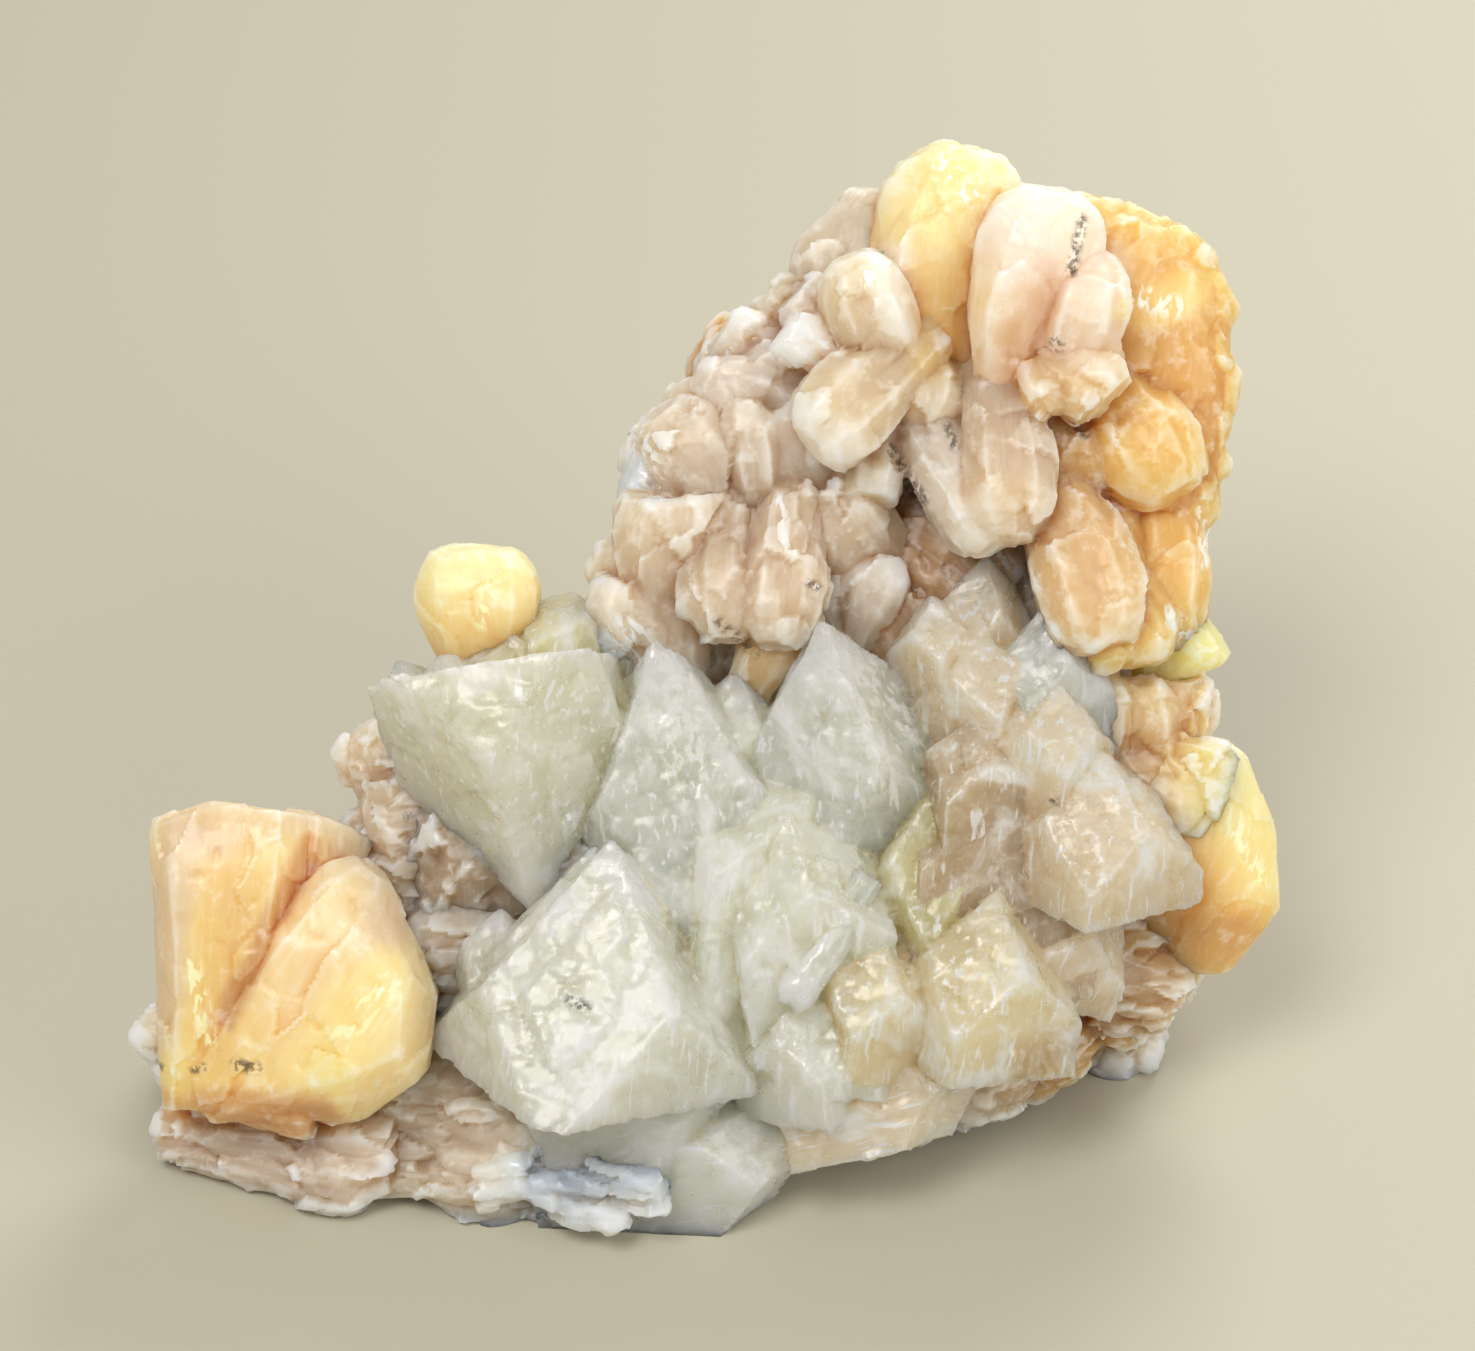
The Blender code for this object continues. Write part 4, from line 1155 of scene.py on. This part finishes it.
def chips(mesh):
    """For each vertex, whether it belongs to a body too small to keep."""
    edges = column(mesh.edges, "vertices", np.int32, 2)
    body = np.arange(len(mesh.vertices))
    while True:
        lowest = body.copy()
        np.minimum.at(lowest, edges[:, 0], body[edges[:, 1]])
        np.minimum.at(lowest, edges[:, 1], body[edges[:, 0]])
        lowest = lowest[lowest]
        if np.array_equal(lowest, body):
            break
        body = lowest
    sizes = np.bincount(body, minlength=len(body))
    return sizes[body] < SMALLEST_CHIP * sizes.max()


def carve(piece, cutter):
    before = len(piece.data.vertices)
    step = piece.modifiers.new("contact", "BOOLEAN")
    step.operation = "DIFFERENCE"
    step.solver = "MANIFOLD"
    step.object = cutter
    graph = bpy.context.evaluated_depsgraph_get()
    mesh = bpy.data.meshes.new_from_object(piece.evaluated_get(graph))
    piece.modifiers.remove(step)
    loose = chips(mesh)
    shape = bmesh.new()
    shape.from_mesh(mesh)
    shape.verts.ensure_lookup_table()
    dropped = [shape.verts[number] for number in np.flatnonzero(loose)]
    bmesh.ops.delete(shape, geom=dropped, context="VERTS")
    shape.to_mesh(mesh)
    shape.free()
    mesh.materials.clear()
    mesh.polygons.foreach_set("material_index", [0] * len(mesh.polygons))
    old, piece.data = piece.data, mesh
    bpy.data.meshes.remove(old)
    mesh.set_sharp_from_angle(angle=SHARP_ANGLE)
    triangles = sum(len(face.vertices) - 2 for face in mesh.polygons)
    print(piece.name, "carved:", before, "to", len(mesh.vertices), "vertices,",
          len(dropped), "in chips,", triangles, "triangles")


# %% [markdown]
# ## The pieces
# The mass of stilbite is grown as three pieces, because one would have too many faces: the wall
# with its fan, the foot, and the back. They overlap inside. The golden sheaves and the
# apophyllite are a piece each, with smaller faces, because the eye goes there first.

# %% Grow the pieces
wall = grow("stilbite_wall_detail", wall_blades + fan_blades, 0.42, stilbite_relief, 0.95, 1)
foot = grow("stilbite_foot_detail", low_blades + lumps[8:], 0.42, scaly_relief, 0.9, 1)
back = grow("stilbite_back_detail", lumps[:8] + crust_blades, 0.62, stone_relief, 0.9)
cluster = grow("apophyllite_detail", cluster_prisms, 0.44, apophyllite_relief, 0.9, 1)

# %% [markdown]
# All four golden sheaves have silky relief and smaller faces than the wall. The three small
# ones are smoothed for longer than the wall, but not the bow-tie, so its groove stays sharp.

# %% Grow the golden sheaves
bow_blades = slope_blades(BOWTIE, 8, SHEAF, BOWTIE_PACKED)
bud_blades = smooth_blades(BUD, 9, ((0, 1),), (0, 1))
right_blades = smooth_blades(RIGHT_FAN, 10, (range(4),), range(4))
tab_blades = smooth_blades(TAB, 11, (), (0, 1))
bowtie = grow("bowtie_detail", bow_blades, 0.32, silky_relief, 1.0, 1)
bud = grow("bud_detail", bud_blades, 0.26, silky_relief, 0.9, 3)
right_fan = grow("right_fan_detail", right_blades, 0.3, silky_relief, 0.9, 2)
tab = grow("tab_detail", tab_blades, 0.22, silky_relief, 0.9, 3)

# %% [markdown]
# The contact space is a body of its own for a moment: the same prisms, drawn in a little and
# without relief. It cuts each piece that the apophyllite touches, and is then removed.

# %% Take the apophyllite's space out of the stone
contact = grow("contact_space", prisms(CONTACT), 0.7, no_relief)
for stone_piece in (wall, foot, back, bowtie):
    carve(stone_piece, contact)
bpy.data.objects.remove(contact)

# %% [markdown]
# ## Node helpers
# The materials are built from a few kinds of node. These helpers add one each and return the
# socket to read, so that a material reads as a short list of steps.

# %% Node helpers


def feed(tree, source, target):
    """Links a socket, or sets a plain value on the target itself."""
    if isinstance(source, bpy.types.NodeSocket):
        tree.links.new(source, target)
    else:
        target.default_value = source


def attribute(tree, name, output):
    reader = tree.nodes.new("ShaderNodeAttribute")
    reader.attribute_name = name
    return reader.outputs[output]


def object_place(tree):
    return tree.nodes.new("ShaderNodeTexCoord").outputs["Object"]


def stretched(tree, vector, scale):
    mapping = tree.nodes.new("ShaderNodeMapping")
    mapping.inputs["Scale"].default_value = scale
    feed(tree, vector, mapping.inputs["Vector"])
    return mapping.outputs["Vector"]


def noise(tree, vector, scale, detail=3.0, roughness=0.5, distortion=0.0):
    texture = tree.nodes.new("ShaderNodeTexNoise")
    feed(tree, vector, texture.inputs["Vector"])
    texture.inputs["Scale"].default_value = scale
    texture.inputs["Detail"].default_value = detail
    texture.inputs["Roughness"].default_value = roughness
    texture.inputs["Distortion"].default_value = distortion
    return texture.outputs["Fac"]


def ranged(tree, value, low, high, to_low=0.0, to_high=1.0):
    mapped = tree.nodes.new("ShaderNodeMapRange")
    feed(tree, value, mapped.inputs["Value"])
    for name, number in (("From Min", low), ("From Max", high)):
        mapped.inputs[name].default_value = number
    for name, number in (("To Min", to_low), ("To Max", to_high)):
        mapped.inputs[name].default_value = number
    return mapped.outputs["Result"]


def times(tree, first, second):
    product = tree.nodes.new("ShaderNodeMath")
    product.operation = "MULTIPLY"
    feed(tree, first, product.inputs[0])
    feed(tree, second, product.inputs[1])
    return product.outputs["Value"]


def blended(tree, share, first, second, way="MIX"):
    mix = tree.nodes.new("ShaderNodeMix")
    mix.data_type = "RGBA"
    mix.blend_type = way
    feed(tree, share, mix.inputs["Factor"])
    for source, target in ((first, mix.inputs[6]), (second, mix.inputs[7])):
        feed(tree, source if isinstance(source, bpy.types.NodeSocket) else (*source, 1), target)
    return mix.outputs[2]


def bumped(tree, height, distance, strength=1.0, below=None):
    bump = tree.nodes.new("ShaderNodeBump")
    bump.inputs["Distance"].default_value = distance * MM
    bump.inputs["Strength"].default_value = strength
    feed(tree, height, bump.inputs["Height"])
    if below:
        feed(tree, below, bump.inputs["Normal"])
    return bump.outputs["Normal"]


print("helpers ready")

# %% [markdown]
# ## Stilbite
# Stilbite is pearly and lets light a few millimetres in, so its shadows glow. Subsurface
# scattering gives that. Its colour is the tint of each crystal, with painted shade that darkens
# the crevices and a painted highlight that pales the rims. A mottle changes both colour and
# roughness. Fine fibres, which are noise stretched along the grain, give the silky sheen as
# bump, and flakes that catch the light are paler and glossier.

# %% Stilbite material


# depth is the colour of the painted shade in the crevices, and shine the colour of the painted
# glints.
def stilbite_material(name, glow, gloss, depth, shine):
    material = bpy.data.materials.new(name)
    material.use_nodes = True
    tree = material.node_tree
    shader = tree.nodes["Principled BSDF"]
    grain, tint = attribute(tree, "grain", "Vector"), attribute(tree, "tint", "Color")
    hollow, dark_specks = attribute(tree, "hollow", "Fac"), attribute(tree, "dark_specks", "Fac")
    place = object_place(tree)

    patches = noise(tree, place, 110, 4, 0.6)
    fibres = noise(tree, stretched(tree, grain, (1.6, 1.6, 0.1)), 1.0, 4, 0.6)
    threads = noise(tree, stretched(tree, grain, (5, 5, 0.35)), 1.0, 3, 0.6)
    grit = noise(tree, place, 1500, 3, 0.6)

    colour = blended(tree, ranged(tree, patches, 0.4, 0.7, 0, 0.4), tint, glow, "MULTIPLY")
    colour = blended(tree, ranged(tree, fibres, 0.5, 0.75, 0, 0.14), colour, (1, 0.97, 0.92))
    # Painted highlight: the rims are paled. Painted shade: the crevices are darkened towards depth.
    colour = blended(tree, ranged(tree, hollow, -0.1, -0.6, 0, 0.6), colour, (1, 0.97, 0.92))
    colour = blended(tree, ranged(tree, hollow, 0.05, 0.8), colour, depth, "MULTIPLY")
    mottle = noise(tree, place, 420, 4, 0.65)
    colour = blended(tree, ranged(tree, mottle, 0.48, 0.3, 0, 0.5), colour, glow, "MULTIPLY")
    colour = blended(tree, ranged(tree, mottle, 0.56, 0.7, 0, 0.3), colour, (1, 0.98, 0.94))
    flakes = noise(tree, stretched(tree, grain, (1.5, 1.5, 0.5)), 1.0, 1, 0.5, 0.4)
    glints = times(tree, ranged(tree, flakes, 0.5, 0.56), attribute(tree, "glint", "Fac"))
    colour = blended(tree, times(tree, glints, 0.75), colour, shine)
    # Near-black specks from fine grit inside the speck strips.
    specks = times(tree, ranged(tree, grit, 0.44, 0.54), dark_specks)
    colour = blended(tree, times(tree, specks, 0.8), colour, (0.09, 0.06, 0.04))
    feed(tree, colour, shader.inputs["Base Color"])

    rough = ranged(tree, mottle, 0.35, 0.65, gloss, gloss + 0.2)
    rough = times(tree, rough, ranged(tree, glints, 0, 1, 1, 0.35))
    feed(tree, rough, shader.inputs["Roughness"])
    normal = bumped(tree, fibres, 0.15, 0.3)
    normal = bumped(tree, threads, 0.05, 0.3, normal)
    normal = bumped(tree, mottle, 0.12, 0.3, normal)
    normal = bumped(tree, grit, 0.03, 0.3, normal)
    feed(tree, normal, shader.inputs["Normal"])
    shader.inputs["IOR"].default_value = 1.5
    shader.inputs["Subsurface Weight"].default_value = 1.0
    shader.inputs["Subsurface Radius"].default_value = (1.0, 0.8, 0.55)
    shader.inputs["Subsurface Scale"].default_value = 11 * MM
    shader.inputs["Coat Weight"].default_value = 0.06
    shader.inputs["Coat Roughness"].default_value = 0.15
    return material


peach = stilbite_material(
    "peach_stilbite", (0.96, 0.9, 0.8), 0.32, (0.8, 0.63, 0.45), (1, 0.98, 0.94)
)
golden = stilbite_material(
    "golden_stilbite", (0.98, 0.88, 0.68), 0.3, (0.86, 0.58, 0.28), (1, 0.93, 0.6)
)
print("stilbite materials:", peach.name, golden.name)

# %% [markdown]
# ## Apophyllite
# Apophyllite is clear with milky and greenish depth. The clear part is plain transmission with
# its own refractive index, and a little absorption tints long paths green. The milky part is
# subsurface scattering in the same shader. Clouds, veins and frost vary the milk's colour, and
# clouds the gloss. Scratches and steps run along each crystal. Painted highlights whiten dashes
# along the steps and the scratched rims, and painted shade darkens the crevices.

# %% Apophyllite material


def apophyllite_material(name, clarity, clear_rough, cloudy_rough):
    material = bpy.data.materials.new(name)
    material.use_nodes = True
    tree = material.node_tree
    shader = tree.nodes["Principled BSDF"]
    grain, tint = attribute(tree, "grain", "Vector"), attribute(tree, "tint", "Color")
    hollow, dark_specks = attribute(tree, "hollow", "Fac"), attribute(tree, "dark_specks", "Fac")
    place = object_place(tree)

    cloud = noise(tree, place, 130, 5, 0.62, 0.6)
    veins = noise(tree, stretched(tree, grain, (0.6, 0.6, 0.2)), 1.0, 5, 0.65, 1.2)
    scratches = noise(tree, stretched(tree, grain, (3.5, 3.5, 0.2)), 1.0, 3, 0.6)
    grit = noise(tree, place, 1300, 3, 0.6)

    dim, dull = (0.76, 0.73, 0.6), (0.84, 0.81, 0.7)
    colour = blended(tree, ranged(tree, cloud, 0.5, 0.3, 0, 0.5), tint, dim, "MULTIPLY")
    colour = blended(tree, ranged(tree, cloud, 0.52, 0.66, 0, 0.8), colour, (0.97, 0.97, 0.93))
    colour = blended(tree, ranged(tree, veins, 0.55, 0.75, 0, 0.4), colour, (0.98, 0.98, 0.95))
    # Painted highlight: the rims are whitened along the scratches.
    painted_rim_highlight = times(tree, ranged(tree, hollow, -0.15, -0.7), ranged(tree, scratches, 0.4, 0.6))
    colour = blended(tree, times(tree, painted_rim_highlight, 0.6), colour, (1, 1, 0.96))
    frost = noise(tree, place, 600, 4, 0.7)
    colour = blended(tree, ranged(tree, frost, 0.5, 0.32, 0, 0.2), colour, dull, "MULTIPLY")
    colour = blended(tree, ranged(tree, frost, 0.56, 0.68, 0, 0.35), colour, (0.99, 0.99, 0.96))
    steps = noise(tree, stretched(tree, grain, (1.3, 1.3, 0.2)), 1.0, 2, 0.55, 0.3)
    # Painted highlights: bright white dashes along the growth steps.
    painted_step_highlights = ranged(tree, steps, 0.6, 0.66)
    glints = times(tree, ranged(tree, steps, 0.5, 0.54), attribute(tree, "glint", "Fac"))
    colour = blended(tree, times(tree, painted_step_highlights, 0.7), colour, (1, 1, 0.99))
    colour = blended(tree, times(tree, glints, 0.8), colour, (1, 0.98, 0.88))
    # Painted shade: the crevices are darkened.
    colour = blended(tree, ranged(tree, hollow, 0.15, 1.2), colour, (0.84, 0.76, 0.58), "MULTIPLY")
    specks = times(tree, ranged(tree, grit, 0.44, 0.54), dark_specks)
    colour = blended(tree, times(tree, specks, 0.85), colour, (0.08, 0.06, 0.04))
    feed(tree, colour, shader.inputs["Base Color"])

    rough = ranged(tree, cloud, 0.35, 0.7, clear_rough, cloudy_rough)
    rough = times(tree, rough, ranged(tree, glints, 0, 1, 1, 0.3))
    feed(tree, rough, shader.inputs["Roughness"])
    normal = bumped(tree, veins, 0.2, 0.3)
    normal = bumped(tree, scratches, 0.05, 0.35, normal)
    normal = bumped(tree, frost, 0.06, 0.35, normal)
    normal = bumped(tree, grit, 0.02, 0.4, normal)
    feed(tree, normal, shader.inputs["Normal"])
    shader.inputs["IOR"].default_value = 1.535
    shader.inputs["Transmission Weight"].default_value = clarity
    shader.inputs["Subsurface Weight"].default_value = 1.0
    shader.inputs["Subsurface Radius"].default_value = (1.0, 0.95, 0.8)
    shader.inputs["Subsurface Scale"].default_value = 11 * MM
    shader.inputs["Coat Weight"].default_value = 0.05
    shader.inputs["Coat Roughness"].default_value = 0.12

    absorption = tree.nodes.new("ShaderNodeVolumeAbsorption")
    absorption.inputs["Color"].default_value = (0.78, 0.86, 0.62, 1)
    absorption.inputs["Density"].default_value = 5
    output = tree.nodes["Material Output"]
    tree.links.new(absorption.outputs["Volume"], output.inputs["Volume"])
    return material


glassy = apophyllite_material("glassy_apophyllite", 0.28, 0.22, 0.46)
print("apophyllite material:", glassy.name)

# %% [markdown]
# ## Finishing
# Each piece gets its material and takes the place of the solid that it dresses. The three
# pieces of the mass share one node. Everything is one rigid rock, so all rides on its root.

# %% Finish and place every piece
FINISHED = (
    (wall, peach, "stilbite_mass", "stilbite"),
    (foot, peach, "stilbite_mass", "stilbite"),
    (back, peach, "stilbite_mass", "stilbite"),
    (cluster, glassy, "apophyllite_cluster", "apophyllite"),
    (bowtie, golden, "stilbite_bowtie", "golden_stilbite"),
    (bud, golden, "stilbite_bud", "golden_stilbite"),
    (right_fan, golden, "stilbite_right_fan", "golden_stilbite"),
    (tab, golden, "stilbite_tab", "golden_stilbite"),
)
for piece, material, node, slot in FINISHED:
    piece.data.materials.append(material)
    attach(piece, "root")
    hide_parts(node)
print(len(FINISHED), "pieces finished")

# %% [markdown]
# ## Studio
# A pale plain floor bounces light up into the crystals. One large soft light from the upper
# left models them, a weaker one from the right opens the shadows, and one from behind makes the
# thin stilbite glow.

# %% Floor and lights
floor_shape = bmesh.new()
bmesh.ops.create_grid(floor_shape, x_segments=1, y_segments=1, size=3)
floor_mesh = bpy.data.meshes.new("floor")
floor_shape.to_mesh(floor_mesh)
floor_shape.free()
floor = bpy.data.objects.new("floor", floor_mesh)
bpy.context.scene.collection.objects.link(floor)

floor_finish = bpy.data.materials.new("pale_floor")
floor_finish.use_nodes = True
floor_shader = floor_finish.node_tree.nodes["Principled BSDF"]
floor_shader.inputs["Base Color"].default_value = (*linear((184, 180, 162)), 1)
floor_shader.inputs["Roughness"].default_value = 0.6
floor_mesh.materials.append(floor_finish)

LIGHTS = (
    ("key", (-0.2, -0.3, 0.62), 0.3, 2.9, (1.0, 0.98, 0.94)),
    ("fill", (0.5, -0.3, 0.35), 0.4, 1.6, (1.0, 0.99, 0.96)),
    ("behind", (0.22, 0.5, 0.42), 0.3, 2.4, (1.0, 0.95, 0.88)),
)
for name, place, size, power, colour in LIGHTS:
    lamp = bpy.data.lights.new(name, "AREA")
    lamp.size = size
    lamp.energy = power
    lamp.color = colour
    holder = bpy.data.objects.new(name, lamp)
    holder.location = place
    aim = Vector((0, 0, 0.035)) - Vector(place)
    holder.rotation_euler = aim.to_track_quat("-Z", "Y").to_euler()
    bpy.context.scene.collection.objects.link(holder)

world = bpy.data.worlds.new("studio")
world.use_nodes = True
sky = world.node_tree.nodes["Background"]
sky.inputs["Color"].default_value = (0.98, 0.97, 0.95, 1)
sky.inputs["Strength"].default_value = 0.42
bpy.context.scene.world = world
bpy.context.scene.view_settings.view_transform = "Standard"
print(len(LIGHTS), "lights")

# %% [markdown]
# ## Camera
# The camera looks square on to the leaning front, from above, as the real one did.

# %% Camera
TARGET = Vector((2.256, -2.678, 42.0)) * MM
DISTANCE = 391.7 * MM
lens = bpy.data.cameras.new("camera")
lens.lens = 100
lens.sensor_width = 36
lens.clip_start = 0.01
camera = bpy.data.objects.new("camera", lens)
looking = Vector((0, math.cos(LEAN), -math.sin(LEAN)))
camera.location = TARGET - looking * DISTANCE
camera.rotation_euler = looking.to_track_quat("-Z", "Y").to_euler()
bpy.context.scene.collection.objects.link(camera)
bpy.context.scene.camera = camera
print("camera at", [round(part, 3) for part in camera.location])
